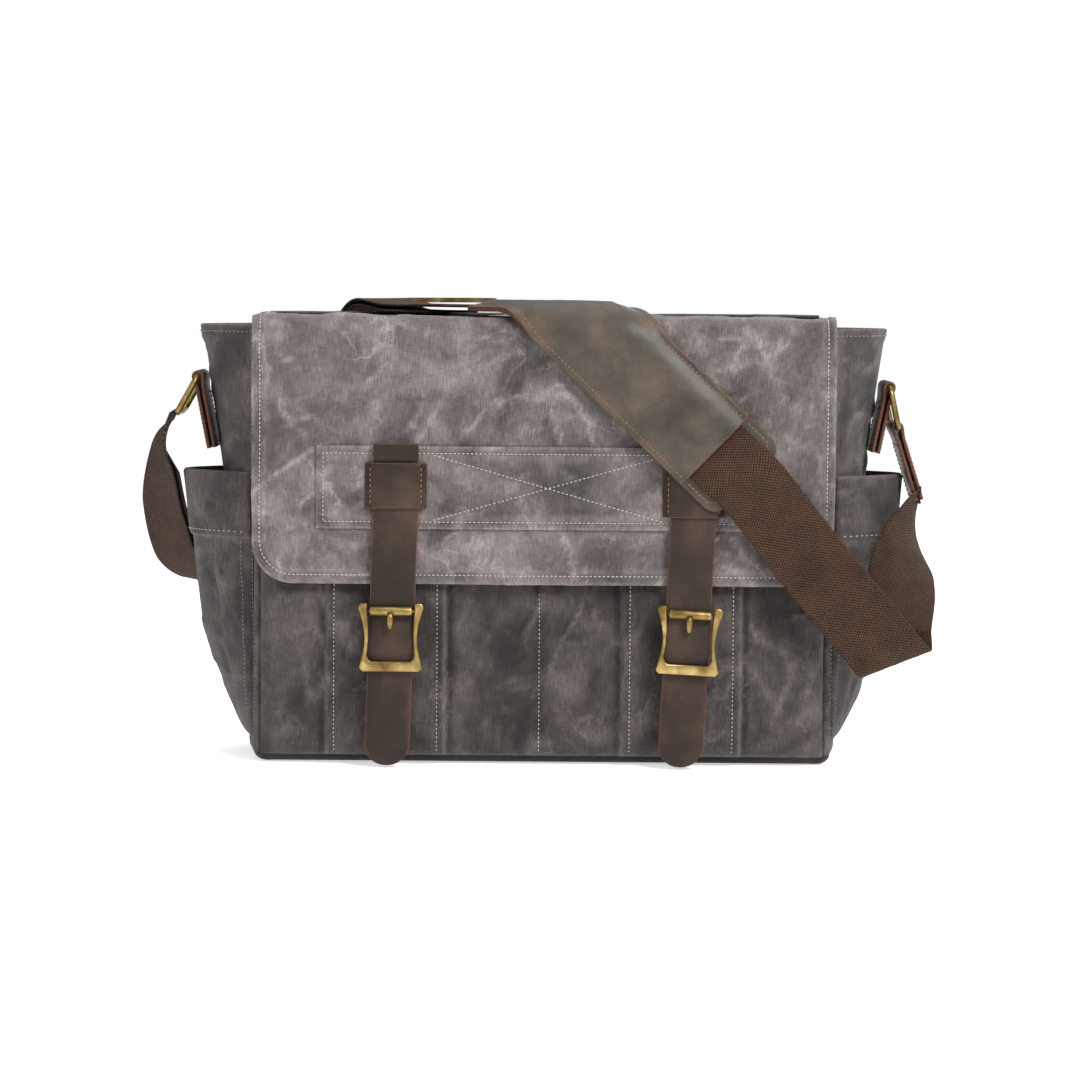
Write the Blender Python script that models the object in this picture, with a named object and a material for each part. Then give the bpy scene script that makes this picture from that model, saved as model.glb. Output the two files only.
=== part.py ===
"""Waxed canvas messenger bag with leather straps and a webbing shoulder strap.

Metres, +Z up. The origin is on the floor under the middle of the base and the front faces -Y.
Sizes below are in millimetres and are turned into metres where the meshes are made.
"""
import math

import bmesh
import bpy
from mathutils import Matrix, Vector

MM = 0.001
GAP = 0.3                      # air kept between pieces that touch

# ---- bag body ----
HALF_WIDTH = 198.0             # front and back panels
HALF_DEPTH = 60.0
BODY_HEIGHT = 303.0
PANEL = 3.0                    # thickness of a canvas panel with its stiffener
BOARD = 2.7                    # base board
LINING = 1.2
CREASE_BASE = 206.0            # the gusset's centre crease, from the middle of the bag
CREASE_RISE = 36.0             # how much further out the crease is at the top
CREASE_POWER = 1.3
GUSSET_HALF_DEPTH = HALF_DEPTH - PANEL - GAP
GUSSET_EDGE = 199.0            # where the gusset meets the panels

# ---- pockets ----
POCKET_FACE = 74.0             # front pocket's outer face, from the middle
PLEAT_FACE = 77.0
POCKET_BOTTOM = 6.0
POCKET_TOP = 165.0
POCKET_HALF_WIDTH = 195.0
PLEAT_CENTRES = (-108.0, 96.0)
PLEAT_HALF_WIDTH = 41.0
CUFF_BOTTOM = 154.0
CUFF_TOP = 201.0
SIDE_POCKET_BOTTOM = 18.0
SIDE_POCKET_DEPTH = 22.0
SIDE_POCKET_HALF = 54.0

# ---- flap ----
FLAP_FRONT = 82.0              # outer face of the flap's front part, from the middle
FLAP_TOP = 309.7
FLAP_BEND = 14.0
FLAP_BACK = 63.0
FLAP_LOWER_EDGE = 126.0
FLAP_HALF_WIDTH = 201.0
FLAP_CORNER = 30.0
BEND_HALF = FLAP_BEND * math.pi / 4
FLAP_HINGE = (0.0, FLAP_BACK, BODY_HEIGHT)
FLAP_U_BACK = FLAP_BACK + (FLAP_FRONT - FLAP_BEND) + BEND_HALF

# ---- closure straps and buckles ----
STRAP_HALF = 15.5
STRAP_BACK = 2.9               # heights above the flap's outer face
STRAP_FACE = 5.4
SIDES = {"left": -1, "right": 1}
KEEPER_CENTRE = {"left": (-101.0, 194.0), "right": (103.0, 189.0)}
KEEPER_HALF = (21.0, 15.5)
STRAP_LEAN = {"left": -0.032, "right": -0.045}
STRAP_TIP = 2.0
BEND_ROOM = 1.6                # between a strap's sewn part and its hanging part
BUCKLE_Z = {"left": 90.0, "right": 89.0}
BUCKLE_WINDOW = 16.5   # half the opening's width
BUCKLE_RAIL = 7.5      # height of the lower rail
BUCKLE_DEPTH = 2.2     # half the frame's thickness
PIN_DROP = 5.5         # the pin below the lugs' tips
SLEEVE_HALF = 14.0
PRONG_HALF = 1.9
PRONG_REACH = 12.0
SNAP_DROP = 34.0       # the snap below the buckle's middle
STUD_RADIUS = 6.0
SOCKET_RADIUS = 7.0
STUD_HEIGHT = 3.6
BUCKLE_HALF = (23.5, 23.5)
BUCKLE_TILT = {"left": 0.0, "right": math.radians(3.0)}
PIN_RADIUS = 1.2
ROLLER_RADIUS = 3.2

# ---- shoulder strap ----
WEB_HALF = 25.0
PAD_CORNER = 12.0
PAD_REST = 3.4         # the pad's backing over the flap's face
PAD_OVER_KEEPER = 5.0  # how much higher it lies at its lower end
PAD_HALF = 33.0
PAD_DIRECTION = (-0.72, 0.694)         # across the flap and up it, towards the slider
PAD_ORIGIN_X = 27.0                    # where the pad's centre line crosses the flap's front edge
PAD_LOWER = -158.0                     # along the pad from that crossing
PAD_SLOT = -125.0
PAD_UPPER = 87.0
SLIDER_AT = 126.0
WEB_THICK = 1.6
RETURN_SHIFT = 4.2                     # from the webbing to the layer that comes back under it
WEB_SPACING = 8.0                      # between the webbing's cross sections
RETURN_END = 36.0                      # the returning layer stops this far from the ring
SLIDER_CLEAR = 1.6
PLY_GAP = 0.7                          # between curved plies
PAD_WEB_LOW = 2.0 + PLY_GAP            # the webbing's underside above the pad's
RING_ROD = 2.0
RING_INNER_HALF = 26.0
RING_DROP = 29.0
RING_PIVOT = {"left": (-242.5, 266.0), "right": (242.0, 262.0)}
RING_SWING = {"left": math.radians(29), "right": math.radians(12)}


# ---------------------------------------------------------------- helpers
def clear_scene():
    for item in list(bpy.data.objects):
        bpy.data.objects.remove(item, do_unlink=True)


def make_material(name, colour, roughness, metallic=0.0):
    material = bpy.data.materials.new(name)
    material.use_nodes = True
    shader = material.node_tree.nodes["Principled BSDF"]
    shader.inputs["Base Color"].default_value = (*colour, 1.0)
    shader.inputs["Roughness"].default_value = roughness
    shader.inputs["Metallic"].default_value = metallic
    return material


LOOKS = {
    "canvas": ((0.135, 0.118, 0.118), 0.85, 0.0),
    "lining": ((0.20, 0.17, 0.13), 0.9, 0.0),
    "board": ((0.05, 0.05, 0.05), 0.8, 0.0),
    "leather": ((0.060, 0.034, 0.025), 0.5, 0.0),
    "webbing": ((0.070, 0.045, 0.032), 0.9, 0.0),
    "brass": ((0.45, 0.33, 0.12), 0.35, 1.0),
}


def finish(name, mesh_builder, look, origin=(0.0, 0.0, 0.0), parent=None, smooth=False):
    """Turn a bmesh in millimetres into a named object whose origin lies at `origin`."""
    bmesh.ops.recalc_face_normals(mesh_builder, faces=mesh_builder.faces)
    shift = Vector(origin)
    for vertex in mesh_builder.verts:
        vertex.co = (vertex.co - shift) * MM
    for face in mesh_builder.faces:
        face.smooth = smooth
    mesh = bpy.data.meshes.new(name)
    mesh_builder.to_mesh(mesh)
    mesh_builder.free()
    obj = bpy.data.objects.new(name, mesh)
    bpy.context.scene.collection.objects.link(obj)
    obj.location = shift * MM
    if parent is not None:
        obj.parent = parent
    mesh.materials.append(make_material(name + "_look", *LOOKS[look]))
    return obj


def add_box(builder, low, high):
    """A box between two corners."""
    size = [high[i] - low[i] for i in range(3)]
    middle = [(high[i] + low[i]) / 2 for i in range(3)]
    matrix = Matrix.Translation(middle) @ Matrix.Diagonal((*size, 1.0))
    bmesh.ops.create_cube(builder, size=1.0, matrix=matrix)


def box(name, low, high, look, **options):
    builder = bmesh.new()
    add_box(builder, low, high)
    return finish(name, builder, look, **options)


def steps(start, end, count):
    return [start + (end - start) * i / count for i in range(count + 1)]


def slab(name, surface, us, vs, low, high, look, **options):
    """A closed plate between two heights over a surface: surface(u, v, height) gives a point.

    `low` and `high` are numbers or functions of (u, v).
    """
    builder = bmesh.new()
    layers = []
    for height in (low, high):
        value = height if callable(height) else (lambda u, v, fixed=height: fixed)
        layers.append([[builder.verts.new(surface(u, v, value(u, v))) for v in vs] for u in us])
    bottom, top = layers
    rows, columns = len(us), len(vs)
    for i in range(rows - 1):
        for j in range(columns - 1):
            for layer in layers:
                builder.faces.new((layer[i][j], layer[i + 1][j], layer[i + 1][j + 1], layer[i][j + 1]))
    for i in range(rows - 1):
        for j in (0, columns - 1):
            builder.faces.new((bottom[i][j], bottom[i + 1][j], top[i + 1][j], top[i][j]))
    for j in range(columns - 1):
        for i in (0, rows - 1):
            builder.faces.new((bottom[i][j], bottom[i][j + 1], top[i][j + 1], top[i][j]))
    return finish(name, builder, look, **options)


def loop_tube(name, path, radius, look, sides=10, **options):
    """A round rod swept along a closed path that lies in one plane."""
    builder = bmesh.new()
    count = len(path)
    points = [Vector(point) for point in path]
    across = (points[1] - points[0]).cross(points[2] - points[0]).normalized()
    rings = []
    for i, point in enumerate(points):
        side = (points[(i + 1) % count] - points[i - 1]).normalized().cross(across)
        ring = []
        for k in range(sides):
            turn = 2 * math.pi * k / sides
            ring.append(builder.verts.new(point + radius * (side * math.cos(turn) + across * math.sin(turn))))
        rings.append(ring)
    for i in range(count):
        here, there = rings[i], rings[(i + 1) % count]
        for k in range(sides):
            n = (k + 1) % sides
            builder.faces.new((here[k], here[n], there[n], there[k]))
    return finish(name, builder, look, smooth=True, **options)


def prism(name, outline, low, high, look, place, **options):
    """A closed outline pushed between two depths: place(a, b, depth) gives a point."""
    builder = bmesh.new()
    ends = [[builder.verts.new(place(a, b, depth)) for a, b in outline] for depth in (low, high)]
    for end in ends:
        builder.faces.new(end)
    count = len(outline)
    for i in range(count):
        n = (i + 1) % count
        builder.faces.new((ends[0][i], ends[0][n], ends[1][n], ends[1][i]))
    return finish(name, builder, look, **options)


def arc(centre, radius, start, end, count):
    """Points on an arc, angles in degrees."""
    points = []
    for angle in steps(math.radians(start), math.radians(end), count):
        points.append((centre[0] + radius * math.cos(angle), centre[1] + radius * math.sin(angle)))
    return points


def rounded_rectangle(half_a, half_b, radius, count=5):
    points = []
    for sign_a, sign_b, start in ((1, 1, 0), (-1, 1, 90), (-1, -1, 180), (1, -1, 270)):
        centre = (sign_a * (half_a - radius), sign_b * (half_b - radius))
        points += arc(centre, radius, start, start + 90, count)
    return points


def smooth_route(route, spacing):
    """Evenly spaced (point, width direction) pairs on a smooth curve through hand-placed ones."""
    pairs = [(Vector(point), Vector(width).normalized()) for point, width in route]
    first, last = pairs[0], pairs[-1]
    ends = [(2 * first[0] - pairs[1][0], first[1]), *pairs, (2 * last[0] - pairs[-2][0], last[1])]
    dense = []
    parts = 24
    for i in range(1, len(ends) - 2):
        window = ends[i - 1:i + 3]
        for k in range(parts):
            t = k / parts
            weights = (-t + 2 * t ** 2 - t ** 3, 2 - 5 * t ** 2 + 3 * t ** 3,
                       t + 4 * t ** 2 - 3 * t ** 3, -t ** 2 + t ** 3)
            point = sum((w / 2 * pair[0] for w, pair in zip(weights, window)), Vector())
            dense.append((point, window[1][1].lerp(window[2][1], t)))
    dense.append(last)
    lengths = [0.0]
    for a, b in zip(dense, dense[1:]):
        lengths.append(lengths[-1] + (b[0] - a[0]).length)
    count = max(3, round(lengths[-1] / spacing))
    result = []
    i = 0
    for wanted in steps(0.0, lengths[-1], count):
        while i < len(dense) - 2 and lengths[i + 1] < wanted:
            i += 1
        share = min(max((wanted - lengths[i]) / max(lengths[i + 1] - lengths[i], 1e-9), 0.0), 1.0)
        result.append((dense[i][0].lerp(dense[i + 1][0], share), dense[i][1].lerp(dense[i + 1][1], share)))
    return result


def ribbon(name, route, look, shift=0.0, cut=(0.0, 0.0)):
    """Flat webbing along a hand-placed route, shifted along its own face and cut short at its ends."""
    pairs = smooth_route(route, WEB_SPACING)
    last = len(pairs) - 1
    builder = bmesh.new()
    rings = []
    first_kept = math.ceil(cut[0] / WEB_SPACING)
    last_kept = last - math.ceil(cut[1] / WEB_SPACING)
    for i in range(first_kept, last_kept + 1):
        centre, width = pairs[i]
        along = (pairs[min(i + 1, last)][0] - pairs[max(i - 1, 0)][0]).normalized()
        width = (width - along * width.dot(along)).normalized()
        face = along.cross(width)
        corners = []
        for side, level in ((-1, -1), (1, -1), (1, 1), (-1, 1)):
            lift = shift + level * WEB_THICK / 2
            corners.append(builder.verts.new(centre + side * WEB_HALF * width + lift * face))
        rings.append(corners)
    for here, there in zip(rings, rings[1:]):
        for k in range(4):
            n = (k + 1) % 4
            builder.faces.new((here[k], here[n], there[n], there[k]))
    builder.faces.new(rings[0])
    builder.faces.new(rings[-1])
    return finish(name, builder, look)


# ---------------------------------------------------------------- shared surfaces
def crease(z):
    return CREASE_BASE + CREASE_RISE * (max(z, 0.0) / BODY_HEIGHT) ** CREASE_POWER


def gusset_x(y, z):
    """Distance of the gusset's outer face from the middle of the bag."""
    bulge = math.cos(math.pi / 2 * min(abs(y) / GUSSET_HALF_DEPTH, 1.0))
    return GUSSET_EDGE + (crease(z) - GUSSET_EDGE) * bulge


def side_pocket_lift(y, z):
    """How far the side pocket stands off the gusset."""
    rise = min(1.0, max(0.0, (z - SIDE_POCKET_BOTTOM) / 75.0)) ** 0.7
    return SIDE_POCKET_DEPTH * rise * math.cos(math.pi / 2 * min(abs(y) / SIDE_POCKET_HALF, 1.0))


def flap_point(x, u, height):
    """The flap's outer face unrolled: u is 0 at the front bend, up over the top for u > 0."""
    if u > BEND_HALF:
        return (x, -(FLAP_FRONT - FLAP_BEND) + u - BEND_HALF, FLAP_TOP + height)
    if u < -BEND_HALF:
        return (x, -FLAP_FRONT - height, FLAP_TOP - FLAP_BEND + u + BEND_HALF)
    turn = math.pi / 4 - u / FLAP_BEND
    radius = FLAP_BEND + height
    return (x, -(FLAP_FRONT - FLAP_BEND) - radius * math.sin(turn),
            FLAP_TOP - FLAP_BEND + radius * math.cos(turn))


def flap_u(z):
    """The unrolled place of a height on the flap's front."""
    return z - (FLAP_TOP - FLAP_BEND) - BEND_HALF


def on_pad(along, across, height):
    """A point of the shoulder pad's own flat shape, laid over the flap."""
    x = PAD_ORIGIN_X + along * PAD_DIRECTION[0] + across * PAD_DIRECTION[1]
    u = along * PAD_DIRECTION[1] - across * PAD_DIRECTION[0]
    return flap_point(x, u, height)


# ---------------------------------------------------------------- bag body
def build_body():
    inner = HALF_DEPTH - PANEL
    for name, side in (("front_panel", -1), ("back_panel", 1)):
        ys = sorted((side * inner, side * HALF_DEPTH))
        box(name, (-HALF_WIDTH, ys[0], 0.0), (HALF_WIDTH, ys[1], BODY_HEIGHT), "canvas")
    base_half = CREASE_BASE - 8.0
    box("base_panel", (-base_half, -inner + GAP, 0.0), (base_half, inner - GAP, PANEL), "canvas")
    board_bottom = PANEL + GAP
    board_top = board_bottom + BOARD
    board_half = GUSSET_EDGE - PANEL - 2.0
    box("base_board", (-board_half, -inner + GAP, board_bottom), (board_half, inner - GAP, board_top), "board")

    for side_name, side in SIDES.items():
        ys = steps(-GUSSET_HALF_DEPTH, GUSSET_HALF_DEPTH, 16)
        zs = steps(board_bottom, BODY_HEIGHT, 14)
        slab(side_name + "_gusset",
             lambda y, z, height, side=side: (side * (gusset_x(y, z) + height), y, z),
             ys, zs, -PANEL, 0.0, "canvas")

    lining_bottom = board_top + GAP
    lining_top = BODY_HEIGHT - 4.0
    build_lining(lining_bottom, lining_top)
    box("laptop_divider", (-188.0, 24.0, lining_bottom + LINING + GAP), (188.0, 31.0, 255.0), "lining")
    box("flap_seam_strip", (-HALF_WIDTH + 2.0, HALF_DEPTH + GAP, 268.0), (HALF_WIDTH - 2.0, 63.0, 299.0), "canvas")


def build_lining(bottom, top):
    """A bag-shaped shell that follows the panels and gussets, open at the top."""
    wall = GUSSET_HALF_DEPTH
    backs = steps(-wall, wall, 16)

    def outline(z, inset):
        points = []
        for side in (1, -1):
            for y in (backs if side > 0 else reversed(backs)):
                x = gusset_x(y, z) - PANEL - 3 * GAP - inset
                points.append((side * x, y * (wall - inset) / wall, z))
        return points

    builder = bmesh.new()
    levels = steps(bottom, top, 8)
    outer = [[builder.verts.new(p) for p in outline(z, 0.0)] for z in levels]
    levels[0] = bottom + LINING
    inner = [[builder.verts.new(p) for p in outline(z, LINING)] for z in levels]
    count = len(outer[0])
    for shell in (outer, inner):
        for here, there in zip(shell, shell[1:]):
            for k in range(count):
                n = (k + 1) % count
                builder.faces.new((here[k], here[n], there[n], there[k]))
        builder.faces.new(shell[0])
    for k in range(count):
        n = (k + 1) % count
        builder.faces.new((outer[-1][k], outer[-1][n], inner[-1][n], inner[-1][k]))
    finish("lining", builder, "lining")


# ---------------------------------------------------------------- pockets
def build_front_pocket():
    """One canvas layer with two box pleats, seamed at the middle and open at the top."""
    wall = 2.5
    back = -HALF_DEPTH - GAP
    edge = PLEAT_FACE - POCKET_FACE
    outline = [(-POCKET_HALF_WIDTH, back), (-POCKET_HALF_WIDTH, -POCKET_FACE)]
    for centre in PLEAT_CENTRES:
        outline += [(centre - PLEAT_HALF_WIDTH, -POCKET_FACE), (centre - PLEAT_HALF_WIDTH + 1, -POCKET_FACE - edge),
                    (centre + PLEAT_HALF_WIDTH - 1, -POCKET_FACE - edge), (centre + PLEAT_HALF_WIDTH, -POCKET_FACE)]
    outline += [(POCKET_HALF_WIDTH, -POCKET_FACE), (POCKET_HALF_WIDTH, back)]
    pocket = prism("front_pocket", outline, POCKET_BOTTOM, POCKET_TOP, "canvas",
                   lambda a, b, depth: (a, b, depth))
    for name, x_low, x_high in (("left_hollow", -POCKET_HALF_WIDTH + wall, -wall / 2),
                                ("right_hollow", wall / 2, POCKET_HALF_WIDTH - wall)):
        cutter = box(name + "_cutter", (x_low, -POCKET_FACE + wall, POCKET_BOTTOM + wall),
                     (x_high, back + 5.0, POCKET_TOP + 5.0), "canvas")
        cutter.hide_render = True
        cutter.display_type = "WIRE"
        cut = pocket.modifiers.new(name, "BOOLEAN")
        cut.operation = "DIFFERENCE"
        cut.solver = "EXACT"
        cut.object = cutter


def build_side_pockets():
    wall = 2.5
    for side_name, side in SIDES.items():
        def surface(y, z, height, side=side):
            return (side * (gusset_x(y, z) + GAP + side_pocket_lift(y, z) + height), y, z)

        ys = steps(-SIDE_POCKET_HALF, SIDE_POCKET_HALF, 16)
        slab(side_name + "_side_pocket", surface, ys, steps(SIDE_POCKET_BOTTOM, CUFF_BOTTOM - GAP, 10),
             0.0, wall, "canvas")
        slab(side_name + "_pocket_cuff", surface, ys, steps(CUFF_BOTTOM, CUFF_TOP, 4), 0.0, wall + 1.0, "canvas")


# ---------------------------------------------------------------- ring tabs and rings
def build_rings():
    loop_inner = RING_ROD + 0.6
    loop_outer = loop_inner + 2.2
    tab_half = 23.0
    strip_bottom = 216.0
    for side_name, side in SIDES.items():
        pivot_x, pivot_z = RING_PIVOT[side_name]
        centre = (abs(pivot_x), pivot_z)
        # a strip up the crease, then round the bar and back down to itself
        clear = GAP + 0.4
        low_x = crease(strip_bottom) + clear
        high_z = pivot_z - loop_outer
        high_x = crease(high_z) + clear
        outline = [(low_x, strip_bottom), (low_x + 2.4, strip_bottom), (high_x + 2.6, high_z)]
        outline += arc(centre, loop_outer, -80, 200, 14)
        outline += [(high_x, high_z - 2.0)]
        tab = prism(side_name + "_ring_tab", outline, -tab_half, tab_half, "leather",
                    lambda a, b, depth, side=side: (side * a, depth, b))
        cutter = prism(side_name + "_tab_cutter", arc(centre, loop_inner, 0, 345, 23), -tab_half - 5,
                       tab_half + 5, "leather", lambda a, b, depth, side=side: (side * a, depth, b))
        cutter.hide_render = True
        cutter.display_type = "WIRE"
        cut = tab.modifiers.new("bar_hole", "BOOLEAN")
        cut.operation = "DIFFERENCE"
        cut.solver = "EXACT"
        cut.object = cutter

        swing = RING_SWING[side_name]
        down = (math.sin(swing) * side, -math.cos(swing))
        outline = rounded_rectangle(RING_INNER_HALF + RING_ROD, RING_DROP / 2, 5.0)
        path = []
        for a, b in outline:
            drop = RING_DROP / 2 - b
            path.append((pivot_x + down[0] * drop, a, pivot_z + down[1] * drop))
        loop_tube(side_name + "_ring", path, RING_ROD, "brass", origin=(pivot_x, 0.0, pivot_z))


def ring_bar(side_name):
    """The middle of the ring's lower bar."""
    side = SIDES[side_name]
    pivot_x, pivot_z = RING_PIVOT[side_name]
    swing = RING_SWING[side_name]
    return Vector((pivot_x + side * math.sin(swing) * RING_DROP, 0.0, pivot_z - math.cos(swing) * RING_DROP))


def build_chape():
    """The leather end that joins the webbing to the right ring."""
    bar = ring_bar("right")
    loop_inner = RING_ROD + 0.6
    loop_outer = loop_inner + 2.2
    end = CHAPE_END
    lean = Vector((end.x - bar.x, 0.0, end.z - bar.z)).normalized()
    side = Vector((lean.z, 0.0, -lean.x))
    outline = []
    facing = math.degrees(math.atan2(-lean.z, -lean.x))
    for a, b in arc((0.0, 0.0), loop_outer, facing - 140, facing + 140, 12):
        outline.append((bar.x + a, bar.z + b))
    tail = []
    for sign in (-1, 1):
        corner = Vector((end.x, 0.0, end.z)) + side * 2.2 * sign
        tail.append((corner.x, corner.z))
    first = Vector((outline[-1][0], 0, outline[-1][1]))
    if (first - Vector((tail[0][0], 0, tail[0][1]))).length > (first - Vector((tail[1][0], 0, tail[1][1]))).length:
        tail.reverse()
    outline += tail
    chape = prism("right_chape", outline, -22.0, 22.0, "leather", lambda a, b, depth: (a, depth, b),
                  origin=tuple(Vector((RING_PIVOT["right"][0], 0.0, RING_PIVOT["right"][1]))))
    cutter = prism("chape_cutter", [(bar.x + a, bar.z + b) for a, b in arc((0, 0), loop_inner, 0, 345, 23)],
                   -30.0, 30.0, "leather", lambda a, b, depth: (a, depth, b))
    cutter.hide_render = True
    cutter.display_type = "WIRE"
    cut = chape.modifiers.new("bar_hole", "BOOLEAN")
    cut.operation = "DIFFERENCE"
    cut.solver = "EXACT"
    cut.object = cutter


# ---------------------------------------------------------------- flap
def flap_half_width(u):
    """The flap narrows at its rounded lower corners."""
    above = u - flap_u(FLAP_LOWER_EDGE)
    if above >= FLAP_CORNER:
        return FLAP_HALF_WIDTH
    return FLAP_HALF_WIDTH - FLAP_CORNER + math.sqrt(max(FLAP_CORNER ** 2 - (FLAP_CORNER - above) ** 2, 0.0))


def flap_rows(end):
    bottom = flap_u(FLAP_LOWER_EDGE)
    corner = [bottom + FLAP_CORNER * (1 - math.cos(angle)) for angle in steps(0.0, math.pi / 2, 6)]
    front = steps(bottom + FLAP_CORNER, -BEND_HALF, 5)[1:]
    return corner + front + steps(-BEND_HALF, BEND_HALF, 6)[1:] + steps(BEND_HALF, end, 4)[1:]


def build_flap():
    across = steps(-1.0, 1.0, 8)

    def outer(share, u, height):
        return flap_point(share * flap_half_width(u), u, height)

    def inner(share, u, height):
        return flap_point(share * (flap_half_width(u) - 2.0), u, height)

    slab("flap_panel", outer, across, flap_rows(FLAP_U_BACK), -2.4, 0.0, "canvas",
         origin=FLAP_HINGE)
    slab("flap_lining", inner, across, flap_rows(FLAP_U_BACK), -3.7, -2.7, "lining",
         origin=FLAP_HINGE)
    slab("flap_band", flap_point, steps(-156.0, 144.0, 4), steps(flap_u(164.0), flap_u(221.0), 2),
         GAP, 2.6, "canvas", origin=FLAP_HINGE)


def build_keepers():
    """A leather loop over each strap: flat ears sewn to the band and a raised middle."""
    half, half_tall = KEEPER_HALF
    shoulder = STRAP_HALF + 1.6
    for side_name in SIDES:
        centre_x, centre_z = KEEPER_CENTRE[side_name]

        def lift(x, u, centre_x=centre_x):
            away = abs(x - centre_x)
            share = min(max((half - 0.8 - away) / (half - 0.8 - shoulder), 0.0), 1.0)
            return STRAP_BACK + share * (STRAP_FACE + GAP - STRAP_BACK)

        marks = (0.0, shoulder, half - 0.8, half)
        xs = sorted({centre_x + sign * mark for mark in marks for sign in (-1, 1)})
        us = steps(flap_u(centre_z - half_tall), flap_u(centre_z + half_tall), 2)
        slab(side_name + "_keeper", flap_point, xs, us, lift,
             lambda x, u, low=lift: low(x, u) + 2.2, "leather", origin=FLAP_HINGE)


# ---------------------------------------------------------------- closure straps
def strap_pivot(side_name):
    """Just below the keeper, where the hanging part of the strap bends."""
    centre_x, centre_z = KEEPER_CENTRE[side_name]
    height = (STRAP_BACK + STRAP_FACE) / 2
    return Vector((centre_x, -FLAP_FRONT - height, centre_z - KEEPER_HALF[1] - 2.0))


def build_straps():
    for side_name in SIDES:
        centre_x, centre_z = KEEPER_CENTRE[side_name]
        pivot = strap_pivot(side_name)
        top = {"left": 223.0, "right": 209.0}[side_name]
        slab(side_name + "_strap_anchor", flap_point, steps(centre_x - STRAP_HALF, centre_x + STRAP_HALF, 2),
             steps(flap_u(pivot.z + BEND_ROOM), flap_u(top), 3), STRAP_BACK, STRAP_FACE, "leather",
             origin=FLAP_HINGE)

        lean = STRAP_LEAN[side_name]
        tip_round = STRAP_HALF

        def surface(share, z, height, pivot=pivot, lean=lean):
            above = z - STRAP_TIP
            half = STRAP_HALF
            if above < tip_round:
                half = 1.5 + (STRAP_HALF - 1.5) * math.sqrt(max(1 - (1 - above / tip_round) ** 2, 0.0))
            middle = pivot.x + lean * (pivot.z - z)
            return (middle + share * half, -FLAP_FRONT - height, z)

        rounds = [STRAP_TIP + tip_round * (1 - math.cos(angle)) for angle in steps(0.0, math.pi / 2, 6)]
        zs = rounds + steps(STRAP_TIP + tip_round, pivot.z, 8)[1:]
        strap = slab(side_name + "_closure_strap", surface, steps(-1.0, 1.0, 4), zs, STRAP_BACK, STRAP_FACE,
                     "leather", origin=tuple(pivot))
        build_buckle(side_name, pivot, lean, strap)
        build_snap(side_name, pivot, lean, strap)


def build_buckle(side_name, pivot, lean, strap):
    """A frame in front of the strap, a pin across its top and a sleeve with a prong on the pin."""
    z = BUCKLE_Z[side_name]
    half_x, half_z = BUCKLE_HALF
    centre = Vector((pivot.x + lean * (pivot.z - z), -FLAP_FRONT - STRAP_FACE - GAP - ROLLER_RADIUS, z))
    frame_origin = bpy.data.objects.new(side_name + "_buckle_place", None)
    bpy.context.scene.collection.objects.link(frame_origin)
    frame_origin.parent = strap
    frame_origin.location = (centre - pivot) * MM
    frame_origin.rotation_euler = (0.0, BUCKLE_TILT[side_name], 0.0)

    pin_z = half_z - PIN_DROP
    waist = half_x - 3.5
    outer = [(-half_x, half_z), (-waist - 1.5, 12.0), (-waist, 0.0), (-waist - 0.5, -12.0), (-half_x + 2.5, -half_z)]
    window = BUCKLE_WINDOW
    # two lugs stand up beside the window; the pin closes the top between them
    outline = outer + [(-x, z) for x, z in reversed(outer)]
    rail = -half_z + BUCKLE_RAIL
    outline += [(window, half_z), (window, rail), (-window, rail), (-window, half_z)]
    frame = prism(side_name + "_buckle_frame", outline, -BUCKLE_DEPTH, BUCKLE_DEPTH, "brass",
                  lambda a, b, depth: (a, depth, b), parent=frame_origin)
    edge = frame.modifiers.new("soft_edges", "BEVEL")
    edge.width = 0.5 * MM
    edge.segments = 1
    edge.limit_method = "ANGLE"
    length = window - GAP
    rod(side_name + "_buckle_pin", length, PIN_RADIUS, pin_z, frame_origin)
    build_tongue(side_name, pin_z, frame_origin)


def rod(name, half_length, radius, z, parent):
    """A straight round bar along X."""
    builder = bmesh.new()
    matrix = Matrix.Translation((0, 0, z)) @ Matrix.Rotation(math.pi / 2, 4, "Y")
    bmesh.ops.create_cone(builder, cap_ends=True, segments=16, radius1=radius, radius2=radius,
                          depth=2 * half_length, matrix=matrix)
    finish(name, builder, "brass", parent=parent, smooth=False)


def build_tongue(side_name, pin_z, parent):
    """The sleeve is a tube on the pin; the prong is one with it."""
    half_length = SLEEVE_HALF
    circle = 20
    builder = bmesh.new()
    rings = []
    for x, radius in ((-half_length, ROLLER_RADIUS), (half_length, ROLLER_RADIUS),
                      (half_length, PIN_RADIUS + GAP), (-half_length, PIN_RADIUS + GAP)):
        ring = []
        for k in range(circle):
            angle = 2 * math.pi * k / circle
            ring.append(builder.verts.new((x, radius * math.cos(angle), pin_z + radius * math.sin(angle))))
        rings.append(ring)
    for i in range(4):
        here, there = rings[i], rings[(i + 1) % 4]
        for k in range(circle):
            n = (k + 1) % circle
            builder.faces.new((here[k], here[n], there[n], there[k]))
    tongue = finish(side_name + "_buckle_tongue", builder, "brass", origin=(0.0, 0.0, pin_z), parent=parent)
    prong = box(side_name + "_prong_solid", (-PRONG_HALF, -2.6, pin_z - PRONG_REACH),
                (PRONG_HALF, -0.4 - PIN_RADIUS, pin_z - 1.0), "brass", parent=parent)
    prong.hide_render = True
    prong.display_type = "WIRE"
    join = tongue.modifiers.new("prong", "BOOLEAN")
    join.operation = "UNION"
    join.solver = "EXACT"
    join.object = prong


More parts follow.
